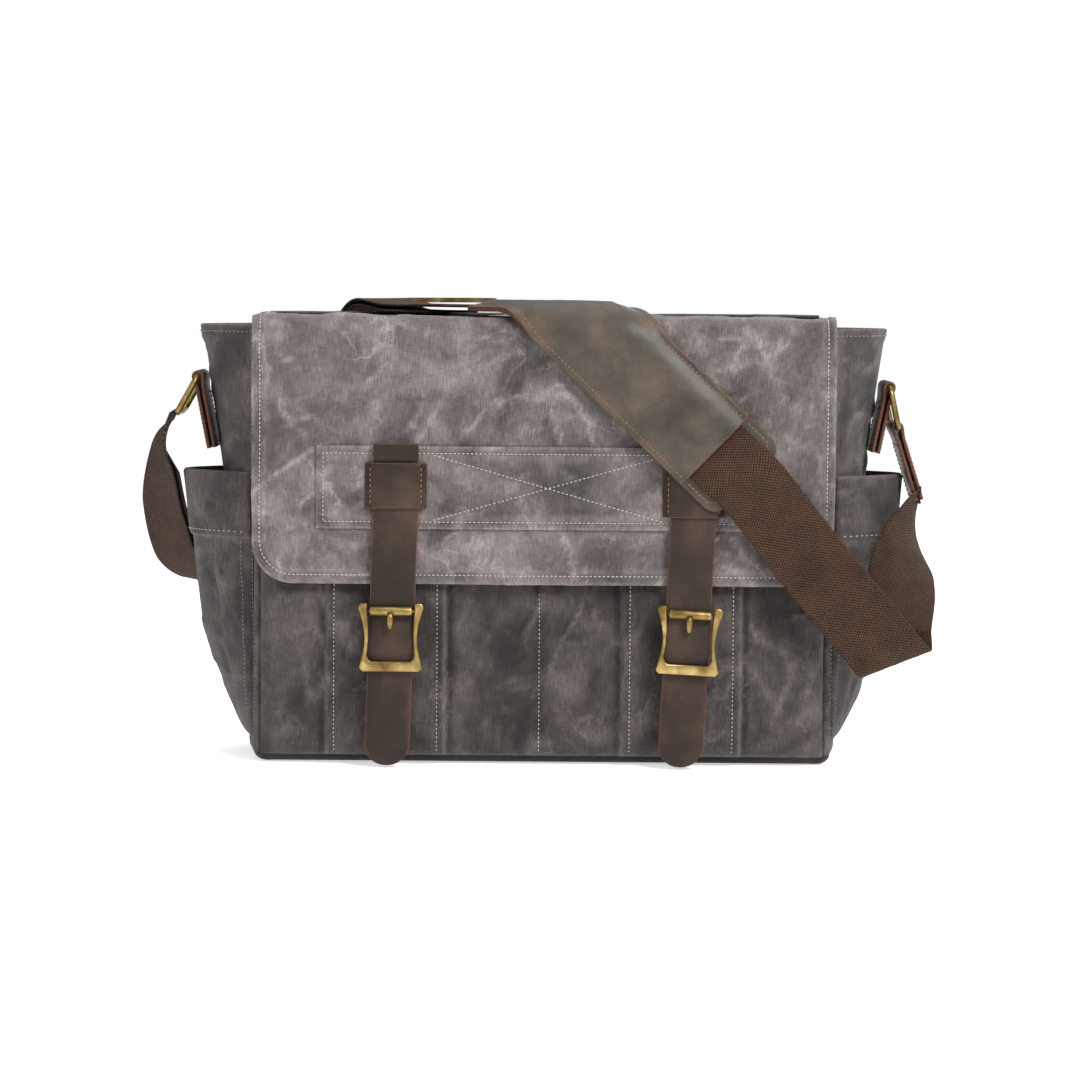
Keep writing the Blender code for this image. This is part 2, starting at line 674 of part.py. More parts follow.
def build_snap(side_name, pivot, lean, strap):
    """A stud on the pocket and a socket on the back of the strap."""
    z = BUCKLE_Z[side_name] - SNAP_DROP
    x = pivot.x + lean * (pivot.z - z)
    meet = PLEAT_FACE + STUD_HEIGHT
    disc(side_name + "_snap_stud", Vector((x, -PLEAT_FACE - GAP, z)), Vector((x, -meet, z)), STUD_RADIUS)
    socket_ends = (Vector((x, -meet - GAP, z)), Vector((x, -FLAP_FRONT - STRAP_BACK + GAP, z)))
    disc(side_name + "_snap_socket", socket_ends[0] - pivot, socket_ends[1] - pivot, SOCKET_RADIUS, parent=strap)


def disc(name, near, far, radius, **options):
    """A round plate between two points on a line along Y."""
    builder = bmesh.new()
    matrix = Matrix.Translation((near + far) / 2) @ Matrix.Rotation(math.pi / 2, 4, "X")
    bmesh.ops.create_cone(builder, cap_ends=True, segments=20, radius1=radius, radius2=radius,
                          depth=(far - near).length, matrix=matrix)
    finish(name, builder, "brass", **options)


# ---------------------------------------------------------------- shoulder strap
def pad_half_width(along, low, high):
    """The pad's ends have rounded corners."""
    near = min(along - low, high - along)
    if near >= PAD_CORNER:
        return PAD_HALF
    return PAD_HALF - PAD_CORNER + math.sqrt(max(PAD_CORNER ** 2 - (PAD_CORNER - near) ** 2, 0.0))


def pad_lift(along):
    """The pad lies on the flap and rises over the keeper at its lower end."""
    share = min(max((-55.0 - along) / 45.0, 0.0), 1.0)
    return PAD_REST + PAD_OVER_KEEPER * share * share * (3 - 2 * share)


def build_pad():
    """Two leather plies with the webbing between them, lying over the flap's front edge."""
    across = steps(-1.0, 1.0, 14)
    rounds = [PAD_CORNER * (1 - math.cos(angle)) for angle in steps(0.0, math.pi / 2, 4)]
    alongs = [PAD_LOWER + r for r in rounds] + steps(PAD_LOWER + PAD_CORNER, PAD_UPPER - PAD_CORNER, 60)[1:]
    alongs += [PAD_UPPER - r for r in reversed(rounds)][1:]

    def shaped(along, share, height):
        half = pad_half_width(along, PAD_LOWER, PAD_UPPER)
        return on_pad(along, share * half, pad_lift(along) + height)

    def plain(along, across_place, height):
        return on_pad(along, across_place, pad_lift(along) + height)

    slab("pad_backing", shaped, alongs, across, 0.0, 2.0, "leather", origin=FLAP_HINGE)
    slab("pad_webbing", plain, steps(PAD_SLOT, PAD_UPPER, 56), steps(-WEB_HALF, WEB_HALF, 11),
         PAD_WEB_LOW, PAD_WEB_LOW + WEB_THICK, "webbing", origin=FLAP_HINGE)
    cover = [PAD_SLOT + 1.0] + [along for along in alongs if along > PAD_SLOT + 3.0]
    cover_low = PAD_WEB_LOW + WEB_THICK + PLY_GAP
    slab("shoulder_pad", shaped, cover, across, cover_low, cover_low + 2.5, "leather", origin=FLAP_HINGE)


def build_slider():
    """A two-window strap slider lying on the webbing."""
    low = pad_lift(SLIDER_AT) + PAD_WEB_LOW + WEB_THICK + SLIDER_CLEAR
    high = low + 3.2
    half_long, half_wide = 14.0, WEB_HALF + 5.0
    outline = rounded_rectangle(half_long, half_wide, 3.0, 3)
    slider = prism("strap_slider", outline, low, high, "brass",
                   lambda a, b, depth: on_pad(SLIDER_AT + a, b, depth))
    for name, start, end in (("front_window", -11.0, -2.0), ("rear_window", 2.0, 11.0)):
        cutter = prism("slider_" + name, [(start, -WEB_HALF - 1), (end, -WEB_HALF - 1), (end, WEB_HALF + 1),
                                          (start, WEB_HALF + 1)], low - 3, high + 3, "brass",
                       lambda a, b, depth: on_pad(SLIDER_AT + a, b, depth))
        cutter.hide_render = True
        cutter.display_type = "WIRE"
        cut = slider.modifiers.new(name, "BOOLEAN")
        cut.operation = "DIFFERENCE"
        cut.solver = "EXACT"
        cut.object = cutter


# The chape's lower end, and the hand-placed routes of the webbing: (point, direction of its width).
CHAPE_END = Vector((264.0, 0.0, 183.0))


def pad_side(along, height):
    """A route point on the pad's centre line and the direction across the webbing there."""
    centre = Vector(on_pad(along, 0.0, height))
    return (tuple(centre), tuple(Vector(on_pad(along, 1.0, height)) - centre))


def front_route():
    """From the pad's slot over its lower end, out to the right, round a fold and up to the chape."""
    return [
        pad_side(PAD_SLOT - GAP, 12.1),
        pad_side(PAD_SLOT - 16.0, 12.6),
        pad_side(PAD_SLOT - 40.0, 13.0),
        ((178.0, -97.0, 150.0), (0.72, 0.0, 0.69)),
        ((222.0, -96.0, 98.0), (0.78, 0.05, 0.62)),
        ((243.0, -86.0, 74.0), (0.93, 0.10, 0.36)),
        ((247.0, -70.0, 90.0), (0.95, 0.25, 0.10)),
        ((253.0, -48.0, 114.0), (0.80, 0.60, 0.0)),
        ((259.0, -20.0, 140.0), (0.35, 0.93, 0.10)),
        ((263.5, -3.0, 160.0), (0.0, 1.0, 0.0)),
        (tuple(CHAPE_END + Vector((0.5, 0.0, -4.5))), (0.0, 1.0, 0.0)),
    ]


def back_route():
    """From the pad over the flap's back edge, down behind the bag and up to the left ring."""
    bar = ring_bar("left")
    return [
        pad_side(PAD_UPPER + GAP, 6.9),
        pad_side(SLIDER_AT, 6.9),
        pad_side(PAD_UPPER + 85.0, 9.4),
        ((-122.0, 79.0, 318.5), (0.72, 0.60, 0.0)),
        ((-136.0, 94.0, 286.0), (0.85, 0.40, -0.10)),
        ((-152.0, 99.0, 236.0), (0.95, 0.10, -0.25)),
        ((-176.0, 99.0, 180.0), (0.90, -0.10, -0.40)),
        ((-208.0, 94.0, 134.0), (0.80, -0.45, -0.35)),
        ((-240.0, 76.0, 114.0), (0.62, -0.78, -0.10)),
        ((-264.0, 50.0, 131.0), (0.50, -0.86, 0.10)),
        ((-277.0, 28.0, 168.0), (0.35, -0.93, 0.10)),
        ((-273.0, 8.0, 208.0), (0.10, -1.0, 0.0)),
        ((-267.0, 1.0, 228.0), (0.0, -1.0, 0.0)),
        ((bar.x - 4.6, 0.0, bar.z + 0.6), (0.0, -1.0, 0.0)),
    ]


def build_webbing():
    ribbon("webbing_front_run", front_route(), "webbing")
    ribbon("webbing_back_run", back_route(), "webbing")
    ribbon("webbing_return_run", back_route(), "webbing", shift=RETURN_SHIFT,
           cut=(SLIDER_AT - PAD_UPPER, RETURN_END))


def main():
    clear_scene()
    build_body()
    build_front_pocket()
    build_side_pockets()
    build_rings()
    build_chape()
    build_flap()
    build_keepers()
    build_straps()
    build_pad()
    build_slider()
    build_webbing()


main()
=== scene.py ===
"""Looks of the waxed canvas messenger bag: cloth shells, leather, stitching, webbing and studio.

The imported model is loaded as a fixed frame. Sizes are in millimetres until a mesh is made.
"""
import math

import bmesh
import bpy
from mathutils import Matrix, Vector, noise


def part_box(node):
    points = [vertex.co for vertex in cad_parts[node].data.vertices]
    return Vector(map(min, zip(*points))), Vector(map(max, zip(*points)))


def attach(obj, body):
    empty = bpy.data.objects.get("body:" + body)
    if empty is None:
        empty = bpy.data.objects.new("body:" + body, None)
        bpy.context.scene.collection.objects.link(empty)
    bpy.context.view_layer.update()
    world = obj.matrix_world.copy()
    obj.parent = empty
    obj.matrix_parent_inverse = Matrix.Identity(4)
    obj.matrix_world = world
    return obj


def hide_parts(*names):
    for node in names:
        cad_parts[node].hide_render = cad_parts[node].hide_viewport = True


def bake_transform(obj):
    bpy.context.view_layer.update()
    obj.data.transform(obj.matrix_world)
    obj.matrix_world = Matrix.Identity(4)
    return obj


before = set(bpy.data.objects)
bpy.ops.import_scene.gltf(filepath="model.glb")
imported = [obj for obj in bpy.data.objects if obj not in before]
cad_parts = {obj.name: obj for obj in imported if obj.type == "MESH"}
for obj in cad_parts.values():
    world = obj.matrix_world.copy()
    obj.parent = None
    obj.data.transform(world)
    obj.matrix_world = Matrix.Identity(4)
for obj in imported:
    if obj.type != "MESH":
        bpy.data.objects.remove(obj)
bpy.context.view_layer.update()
MM = 0.001


def node_box(node):
    """A CAD node's lowest and highest corner in millimetres."""
    low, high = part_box(node)
    return Vector(low) / MM, Vector(high) / MM


# ---- sizes read from the frame ----
PANEL_LOW, PANEL_HIGH = node_box("front_panel")
HALF_WIDTH = PANEL_HIGH.x
HALF_DEPTH = -PANEL_LOW.y
BODY_HEIGHT = PANEL_HIGH.z
POCKET_LOW, POCKET_HIGH = node_box("front_pocket")
FLAP_LOW, FLAP_HIGH = node_box("flap_panel")
FLAP_FRONT = -FLAP_LOW.y
FLAP_TOP = FLAP_HIGH.z
FLAP_BACK = FLAP_HIGH.y
FLAP_HALF_WIDTH = FLAP_HIGH.x
BAND_LOW, BAND_HIGH = node_box("flap_band")
GUSSET_HALF_DEPTH = node_box("right_gusset")[1].y

KEEPER_BOXES = {name: node_box(name + "_keeper") for name in ("left", "right")}

# ---- shapes shared with the frame ----
FLAP_BEND = 14.0
FLAP_CORNER = 30.0
BEND_HALF = FLAP_BEND * math.pi / 4
GUSSET_EDGE = 199.0
CREASE_BASE = 206.0
CREASE_RISE = 36.0
CREASE_POWER = 1.3
SIDES = {"left": -1, "right": 1}


# ================================================================ helpers
def clamp(value, low=0.0, high=1.0):
    return max(low, min(high, value))


def ease(value):
    value = clamp(value)
    return value * value * (3 - 2 * value)


def bump(distance, width):
    """A soft ridge that is 1 at distance 0."""
    return math.exp(-(distance / width) ** 2)


def steps(start, end, count):
    return [start + (end - start) * i / count for i in range(count + 1)]


def lines(start, end, pitch, fine=()):
    """Evenly spaced grid lines, with finer ones at the given distances from both ends."""
    values = {round(v, 3) for v in steps(start, end, max(1, round(abs(end - start) / pitch)))}
    reach = max(fine, default=0.0)
    values = {v for v in values if v - start > reach * 1.2 and end - v > reach * 1.2} | {start, end}
    for offset in fine:
        values |= {start + offset, end - offset}
    return sorted(values)


def ridge(place, reach):
    """A sharp crest where the noise crosses zero: 1 on the crest, 0 beyond `reach`."""
    return max(0.0, 1.0 - abs(noise.noise(place)) / reach)


def crumple(a, b, seed, scale=70.0):
    """Cloth folds as (height, rub, shade): swells and creases, pale rubbed crests, and painted shade in the hollows."""
    place = Vector((a / scale, b / scale, seed))
    warp = noise.noise_vector(place * 0.8) * 0.9
    soft = noise.noise(place * 0.9 + warp)
    patch = ease(noise.noise(place * 1.1 + Vector((5.0, 2.0, 8.0))) * 1.6 + 0.55)
    long_crease = ridge(place * 1.25 + warp * 1.4 + Vector((3.1, 7.7, 0.0)), 0.22) * patch
    short_patch = ease(noise.noise(place * 1.9 + Vector((1.0, 6.0, 2.0))) * 1.8 + 0.35)
    short_crease = ridge(place * 2.6 + warp * 1.9 + Vector((9.0, 1.0, 4.0)), 0.25) * short_patch
    height = 0.8 * soft + 0.62 * long_crease ** 1.4 + 0.26 * short_crease ** 1.4 - 0.22
    rub = 1.3 * long_crease ** 4 + 0.9 * short_crease ** 4 + 0.18 * ease(soft * 1.6)
    # painted shade: darker where the folds sink into hollows
    shade = 0.8 * ease(-soft * 1.7) + 0.35 * ease(1.0 - long_crease) * patch * ease(-soft * 2.0 + 0.3)
    return height, clamp(rub), clamp(shade)


def wrinkle(a, b, seed, scale=70.0):
    return crumple(a, b, seed, scale)[0]


def new_object(name, builder, materials, smooth=True):
    """Turn a bmesh in millimetres into an object in metres."""
    bmesh.ops.recalc_face_normals(builder, faces=builder.faces)
    for vertex in builder.verts:
        vertex.co *= MM
    for face in builder.faces:
        face.smooth = smooth
    mesh = bpy.data.meshes.new(name)
    builder.to_mesh(mesh)
    builder.free()
    obj = bpy.data.objects.new(name, mesh)
    bpy.context.scene.collection.objects.link(obj)
    for material in materials:
        mesh.materials.append(material)
    return obj


def settle(obj, body=None, nodes=()):
    """Give a piece its body and the nodes it stands for."""
    if body is not None:
        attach(obj, body)
    if nodes:
        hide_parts(*nodes)
    return obj


def round_edges(obj, width, segments=2, angle=40.0):
    """Round the sharp edges of a finished mesh."""
    bevel = obj.modifiers.new("round_edges", "BEVEL")
    bevel.width = width * MM
    bevel.segments = segments
    bevel.limit_method = "ANGLE"
    bevel.angle_limit = math.radians(angle)
    bevel.harden_normals = False
    return obj


def paint_wear_and_shade(obj, values):
    """Store each vertex's rub and painted shade; the canvas material lightens the rubbed wax and paints the shade
    there.
    """
    layer = obj.data.attributes.new("wear_and_painted_shade", "FLOAT_COLOR", "POINT")
    for item, (rub, shade) in zip(layer.data, values):
        item.color = (clamp(rub), clamp(shade), 0.0, 1.0)


def sheet(name, surface, us, vs, low, high, materials, uv_scale=(1.0, 1.0), rim=0, under=0, wear_and_painted_shade=None,
          raw=(0, 0)):
    """A closed cloth or leather layer over surface(u, v, height), with a UV map in metres.

    `rim` and `under` are the material numbers of its edge and its back; `raw` says how many of
    the outermost strips along u and v show the edge material too.
    """
    builder = bmesh.new()
    uv_layer = builder.loops.layers.uv.new("UVMap")
    places = {}
    layers = []
    for height in (low, high):
        value = height if callable(height) else (lambda u, v, fixed=height: fixed)
        layer = []
        for u in us:
            row = []
            for v in vs:
                vertex = builder.verts.new(surface(u, v, value(u, v)))
                places[vertex] = (u * uv_scale[0] * MM, v * uv_scale[1] * MM)
                row.append(vertex)
            layer.append(row)
        layers.append(layer)
    bottom, top = layers
    rows, columns = len(us), len(vs)
    for i in range(rows - 1):
        for j in range(columns - 1):
            outer = i < raw[0] or i >= rows - 1 - raw[0] or j < raw[1] or j >= columns - 1 - raw[1]
            for layer, number in ((bottom, under), (top, rim if outer else 0)):
                corners = (layer[i][j], layer[i + 1][j], layer[i + 1][j + 1], layer[i][j + 1])
                builder.faces.new(corners).material_index = number
    for i in range(rows - 1):
        for j in (0, columns - 1):
            corners = (bottom[i][j], bottom[i + 1][j], top[i + 1][j], top[i][j])
            builder.faces.new(corners).material_index = rim
    for j in range(columns - 1):
        for i in (0, rows - 1):
            corners = (bottom[i][j], bottom[i][j + 1], top[i][j + 1], top[i][j])
            builder.faces.new(corners).material_index = rim
    for face in builder.faces:
        for loop in face.loops:
            loop[uv_layer].uv = places[loop.vert]
    obj = new_object(name, builder, materials)
    if wear_and_painted_shade is not None:
        one_side = [wear_and_painted_shade(u, v) for u in us for v in vs]
        paint_wear_and_shade(obj, one_side + one_side)
    return obj


def path_marks(points, pitch, closed=False):
    """Evenly spaced (place, direction) marks along a polyline."""
    points = [Vector(point) for point in points]
    if closed:
        points.append(points[0])
    total = sum((b - a).length for a, b in zip(points, points[1:]))
    count = max(1, int(total / pitch))
    gap = total / count
    marks = []
    walked = 0.0
    wanted = gap / 2
    for a, b in zip(points, points[1:]):
        span = (b - a).length
        while span > 0 and wanted <= walked + span and len(marks) < count:
            marks.append((a.lerp(b, (wanted - walked) / span), (b - a).normalized()))
            wanted += gap
        walked += span
    return marks


def stitch_row(name, rows, surface, thread, lift=0.2, pitch=3.0, length=2.2, radius=0.42):
    """Sewing thread: a short rounded bar for each stitch, on rows of flat (u, v) points."""
    builder = bmesh.new()
    sides = 6
    for row in rows:
        flat = [(u, v, 0.0) for u, v in row]
        for place, along in path_marks(flat, pitch):
            here = Vector(surface(place.x, place.y, lift))
            ahead = Vector(surface(place.x + along.x, place.y + along.y, lift))
            above = Vector(surface(place.x, place.y, lift + 1.0))
            forward = (ahead - here).normalized()
            up = (above - here).normalized()
            side = forward.cross(up).normalized()
            rings = []
            for station, size, sink in ((-0.5, 0.45, -0.35), (-0.25, 1.0, 0.0), (0.25, 1.0, 0.0), (0.5, 0.45, -0.35)):
                centre = here + forward * station * length + up * sink
                ring = []
                for k in range(sides):
                    turn = 2 * math.pi * k / sides
                    ring.append(builder.verts.new(centre + radius * size * (side * math.cos(turn)
                                                                            + up * math.sin(turn))))
                rings.append(ring)
            for first, second in zip(rings, rings[1:]):
                for k in range(sides):
                    n = (k + 1) % sides
                    builder.faces.new((first[k], first[n], second[n], second[k]))
            builder.faces.new(rings[0])
            builder.faces.new(rings[-1])
    return new_object(name, builder, [thread])


def tube(name, path, radius, materials, closed=False, sides=14):
    """A round rod swept along points."""
    builder = bmesh.new()
    points = [Vector(point) for point in path]
    count = len(points)
    rings = []
    up = Vector((0.0, 0.0, 1.0))
    for i, point in enumerate(points):
        before = points[i - 1] if closed or i > 0 else point
        after = points[(i + 1) % count] if closed or i < count - 1 else point
        along = (after - before).normalized()
        side = along.cross(up)
        if side.length < 0.2:
            side = along.cross(Vector((0.0, 1.0, 0.0)))
        side.normalize()
        up = side.cross(along).normalized()
        ring = []
        for k in range(sides):
            turn = 2 * math.pi * k / sides
            ring.append(builder.verts.new(point + radius * (side * math.cos(turn) + up * math.sin(turn))))
        rings.append(ring)
    pairs = count if closed else count - 1
    for i in range(pairs):
        here, there = rings[i], rings[(i + 1) % count]
        shift = 0
        if closed and i == count - 1:
            shift = min(range(sides), key=lambda s: (here[0].co - there[s].co).length)
        for k in range(sides):
            n = (k + 1) % sides
            builder.faces.new((here[k], here[n], there[(n + shift) % sides], there[(k + shift) % sides]))
    if not closed:
        builder.faces.new(rings[0])
        builder.faces.new(rings[-1])
    return new_object(name, builder, materials)


# ================================================================ materials
class Nodes:
    """A small helper that adds and links shader nodes."""

    def __init__(self, name):
        self.material = bpy.data.materials.new(name)
        self.material.use_nodes = True
        self.tree = self.material.node_tree
        self.shader = self.tree.nodes["Principled BSDF"]

    def add(self, kind, **values):
        node = self.tree.nodes.new(kind)
        for key, value in values.items():
            if key in node.inputs:
                node.inputs[key].default_value = value
            else:
                setattr(node, key, value)
        return node

    def link(self, output, target):
        self.tree.links.new(output, target)

    def math(self, operation, first, second=None, clamp_result=False):
        node = self.add("ShaderNodeMath", operation=operation, use_clamp=clamp_result)
        for socket, value in zip(node.inputs, (first, second)):
            if value is None:
                continue
            if isinstance(value, (int, float)):
                socket.default_value = value
            else:
                self.link(value, socket)
        return node.outputs[0]

    def ramp(self, factor, stops):
        node = self.add("ShaderNodeValToRGB")
        elements = node.color_ramp.elements
        while len(elements) < len(stops):
            elements.new(0.5)
        for element, (place, colour) in zip(elements, stops):
            element.position = place
            element.color = (*colour, 1.0) if len(colour) == 3 else colour
        self.link(factor, node.inputs[0])
        return node.outputs[0]

    def noise(self, vector, scale, detail=4.0, roughness=0.55, distortion=0.0):
        node = self.add("ShaderNodeTexNoise")
        node.inputs["Scale"].default_value = scale
        node.inputs["Detail"].default_value = detail
        node.inputs["Roughness"].default_value = roughness
        node.inputs["Distortion"].default_value = distortion
        self.link(vector, node.inputs["Vector"])
        return node.outputs["Fac"]

    def mix(self, factor, first, second):
        node = self.add("ShaderNodeMix", data_type="RGBA")
        for socket, value in ((node.inputs[0], factor), (node.inputs[6], first), (node.inputs[7], second)):
            if isinstance(value, tuple):
                socket.default_value = (*value, 1.0)
            elif isinstance(value, (int, float)):
                socket.default_value = value
            else:
                self.link(value, socket)
        return node.outputs[2]

    def stretch(self, vector, factors):
        node = self.add("ShaderNodeMapping")
        node.inputs["Scale"].default_value = factors
        self.link(vector, node.inputs["Vector"])
        return node.outputs[0]

    def height(self, value, strength, distance, after=None):
        node = self.add("ShaderNodeBump")
        node.inputs["Strength"].default_value = strength
        node.inputs["Distance"].default_value = distance
        self.link(value, node.inputs["Height"])
        if after is not None:
            self.link(after, node.inputs["Normal"])
        return node.outputs[0]

    def finish(self, colour, roughness, normal=None):
        self.link(colour, self.shader.inputs["Base Color"])
        if isinstance(roughness, (int, float)):
            self.shader.inputs["Roughness"].default_value = roughness
        else:
            self.link(roughness, self.shader.inputs["Roughness"])
        if normal is not None:
            self.link(normal, self.shader.inputs["Normal"])
        return self.material


def canvas_material(name, dark, middle, pale, crease_amount=1.0):
    """Waxed canvas: a slubby weave, blotchy wax, pale lines where folds have rubbed it, and painted shade where the
    mesh marks it.
    """
    n = Nodes(name)
    coordinates = n.add("ShaderNodeTexCoord")
    place = coordinates.outputs["Object"]
    weave_place = coordinates.outputs["UV"]
    mottle = n.noise(place, 26.0, 6.0, 0.62, 0.6)
    colour = n.ramp(mottle, [(0.36, dark), (0.51, middle), (0.66, pale)])
    rubbed = tuple(min(1.0, c * 2.0) for c in pale)
    # the mesh says where folds have rubbed the wax and where shade is painted in hollows, seams and under the flap;
    # noise breaks the rubbed lines up
    wear_and_painted_shade = n.add("ShaderNodeSeparateColor")
    n.link(n.add("ShaderNodeAttribute", attribute_name="wear_and_painted_shade").outputs["Color"], wear_and_painted_shade.inputs[0])
    rub = wear_and_painted_shade.outputs[0]
    # painted shade: the second channel darkens the cloth towards a deeper copy of its dark tone
    shaded = n.math("MULTIPLY", wear_and_painted_shade.outputs[1], 0.62)
    colour = n.mix(shaded, colour, tuple(c * 0.45 for c in dark))
    broken = n.ramp(n.noise(place, 95.0, 5.0, 0.7), [(0.36, (0.15,) * 3), (0.62, (1.0,) * 3)])
    colour = n.mix(n.math("MULTIPLY", n.math("MULTIPLY", rub, broken), 0.80 * crease_amount), colour, rubbed)
    # wide pale clouds where the wax has thinned
    cloud = n.ramp(n.noise(place, 15.0, 6.0, 0.68, 1.2), [(0.50, (0, 0, 0)), (0.70, (1, 1, 1))])
    colour = n.mix(n.math("MULTIPLY", cloud, 0.30 * crease_amount), colour, rubbed)
    # short crackle lines in patches
    warp = n.add("ShaderNodeTexNoise")
    warp.inputs["Scale"].default_value = 16.0
    warp.inputs["Detail"].default_value = 4.0
    n.link(place, warp.inputs["Vector"])
    moved = n.add("ShaderNodeVectorMath", operation="MULTIPLY_ADD")
    n.link(warp.outputs["Color"], moved.inputs[0])
    moved.inputs[1].default_value = (0.05, 0.05, 0.05)
    n.link(place, moved.inputs[2])
    veins = n.noise(moved.outputs[0], 19.0, 5.0, 0.6, 0.3)
    vein = n.math("ABSOLUTE", n.math("SUBTRACT", veins, 0.5))
    vein_line = n.ramp(vein, [(0.0, (1, 1, 1)), (0.012, (0.35,) * 3), (0.03, (0, 0, 0))])
    patches = n.ramp(n.noise(place, 13.0, 3.0, 0.6), [(0.50, (0, 0, 0)), (0.64, (1, 1, 1))])
    strength = n.math("MULTIPLY", n.math("MULTIPLY", vein_line, patches), 0.55 * crease_amount)
    colour = n.mix(strength, colour, rubbed)
    # slubs: long thin threads down the cloth and shorter ones across
    down = n.noise(n.stretch(weave_place, (1700.0, 110.0, 1.0)), 1.0, 2.0, 0.6)
    across = n.noise(n.stretch(weave_place, (150.0, 1700.0, 1.0)), 1.0, 2.0, 0.6)
    threads = n.math("ADD", n.math("MULTIPLY", down, 0.68), n.math("MULTIPLY", across, 0.32))
    shade = n.ramp(threads, [(0.36, (0.62,) * 3), (0.50, (0.98,) * 3), (0.64, (1.42, 1.41, 1.40))])
    blend = n.add("ShaderNodeMix", data_type="RGBA", blend_type="MULTIPLY")
    blend.inputs[0].default_value = 0.9
    n.link(colour, blend.inputs[6])
    n.link(shade, blend.inputs[7])
    # woven relief at the real thread size, 0.7 mm
    bands = []
    for direction in ("X", "Y"):
        wave = n.add("ShaderNodeTexWave", wave_type="BANDS", bands_direction=direction)
        wave.inputs["Scale"].default_value = 220.0
        wave.inputs["Distortion"].default_value = 0.8
        n.link(weave_place, wave.inputs["Vector"])
        bands.append(wave.outputs["Fac"])
    normal = n.height(n.math("MULTIPLY", bands[0], bands[1]), 0.4, 0.0004)
    normal = n.height(threads, 0.5, 0.0008, normal)
    normal = n.height(n.noise(place, 48.0, 6.0, 0.62, 0.5), 0.5, 0.0035, normal)
    n.shader.inputs["Sheen Weight"].default_value = 0.12
    n.shader.inputs["Sheen Roughness"].default_value = 0.5
    n.shader.inputs["Specular IOR Level"].default_value = 0.22
    roughness = n.ramp(mottle, [(0.3, (0.66,) * 3), (0.7, (0.86,) * 3)])
    return n.finish(blend.outputs[2], roughness, normal)


def leather_material(name, dark, middle, pale, roughness=(0.42, 0.62)):
    """Pull-up leather: smooth waxy grain with lighter pulled patches, scratches and pores."""
    n = Nodes(name)
    place = n.add("ShaderNodeTexCoord").outputs["Object"]
    cloud = n.noise(place, 20.0, 5.0, 0.6, 0.15)
    colour = n.ramp(cloud, [(0.32, dark), (0.5, middle), (0.70, pale)])
    scratch = n.noise(n.stretch(place, (60.0, 60.0, 420.0)), 1.0, 4.0, 0.6, 0.5)
    marks = n.ramp(scratch, [(0.62, (0, 0, 0)), (0.74, (1, 1, 1))])
    colour = n.mix(n.math("MULTIPLY", marks, 0.35), colour, pale)
    grain = n.add("ShaderNodeTexVoronoi")
    grain.inputs["Scale"].default_value = 900.0
    n.link(place, grain.inputs["Vector"])
    normal = n.height(grain.outputs["Distance"], 0.16, 0.0003)
    normal = n.height(n.noise(place, 140.0, 5.0, 0.6), 0.25, 0.0008, normal)
    rough = n.ramp(cloud, [(0.3, (roughness[0],) * 3), (0.7, (roughness[1],) * 3)])
    n.shader.inputs["Specular IOR Level"].default_value = 0.3
    return n.finish(colour, rough, normal)


def raw_edge_material():
    """The cut edge of leather: reddish brown and fibrous."""
    n = Nodes("leather_raw_edge")
    place = n.add("ShaderNodeTexCoord").outputs["Object"]
    fibre = n.noise(place, 900.0, 4.0, 0.7)
    colour = n.ramp(fibre, [(0.3, (0.040, 0.015, 0.008)), (0.7, (0.150, 0.050, 0.022))])
    return n.finish(colour, 0.85, n.height(fibre, 0.5, 0.0004))


def webbing_material(name, dark, pale):
    """Heavy cotton webbing: a basket weave of paired yarns, from the UV map in metres."""
    n = Nodes(name)
    coordinates = n.add("ShaderNodeTexCoord")
    uv = coordinates.outputs["UV"]
    cell = n.add("ShaderNodeTexVoronoi", feature="F1")
    cell.inputs["Scale"].default_value = 1.0
    cell.inputs["Randomness"].default_value = 0.12
    turned = n.add("ShaderNodeMapping")
    turned.inputs["Rotation"].default_value = (0.0, 0.0, math.radians(38.0))
    turned.inputs["Scale"].default_value = (520.0, 640.0, 1.0)
    n.link(uv, turned.inputs["Vector"])
    n.link(turned.outputs[0], cell.inputs["Vector"])
    knot = n.ramp(cell.outputs["Distance"], [(0.05, (1, 1, 1)), (0.62, (0, 0, 0))])
    tone = n.noise(coordinates.outputs["Object"], 55.0, 5.0, 0.65)
    colour = n.mix(knot, dark, pale)
    shade = n.ramp(tone, [(0.3, (0.72, 0.72, 0.72)), (0.7, (1.3, 1.28, 1.26))])
    blend = n.add("ShaderNodeMix", data_type="RGBA", blend_type="MULTIPLY")
    blend.inputs[0].default_value = 1.0
    n.link(colour, blend.inputs[6])
    n.link(shade, blend.inputs[7])
    fuzz = n.noise(coordinates.outputs["Object"], 2400.0, 3.0, 0.7)
    normal = n.height(knot, 0.8, 0.0010)
    normal = n.height(fuzz, 0.3, 0.0004, normal)
    n.shader.inputs["Sheen Weight"].default_value = 0.05
    n.shader.inputs["Specular IOR Level"].default_value = 0.12
    return n.finish(blend.outputs[2], 0.9, normal)


def brass_material():
    """Antique brass: brushed, darkened in patches and bright where it is rubbed."""
    n = Nodes("antique_brass_look")
    place = n.add("ShaderNodeTexCoord").outputs["Object"]
    patina = n.noise(place, 90.0, 4.0, 0.5, 0.3)
    colour = n.ramp(patina, [(0.34, (0.15, 0.095, 0.032)), (0.5, (0.28, 0.185, 0.066)), (0.70, (0.46, 0.33, 0.135))])
    rough = n.ramp(patina, [(0.3, (0.48,) * 3), (0.7, (0.30,) * 3)])
    brushed = n.noise(n.stretch(place, (300.0, 300.0, 2600.0)), 1.0, 3.0, 0.6)
    n.shader.inputs["Metallic"].default_value = 1.0
    return n.finish(colour, rough, n.height(brushed, 0.12, 0.0002))


def thread_material(name, dark, pale):
    n = Nodes(name)
    place = n.add("ShaderNodeTexCoord").outputs["Object"]
    twist = n.noise(place, 1500.0, 3.0, 0.6)
    colour = n.ramp(twist, [(0.3, dark), (0.7, pale)])
    return n.finish(colour, 0.8, n.height(twist, 0.4, 0.0003))


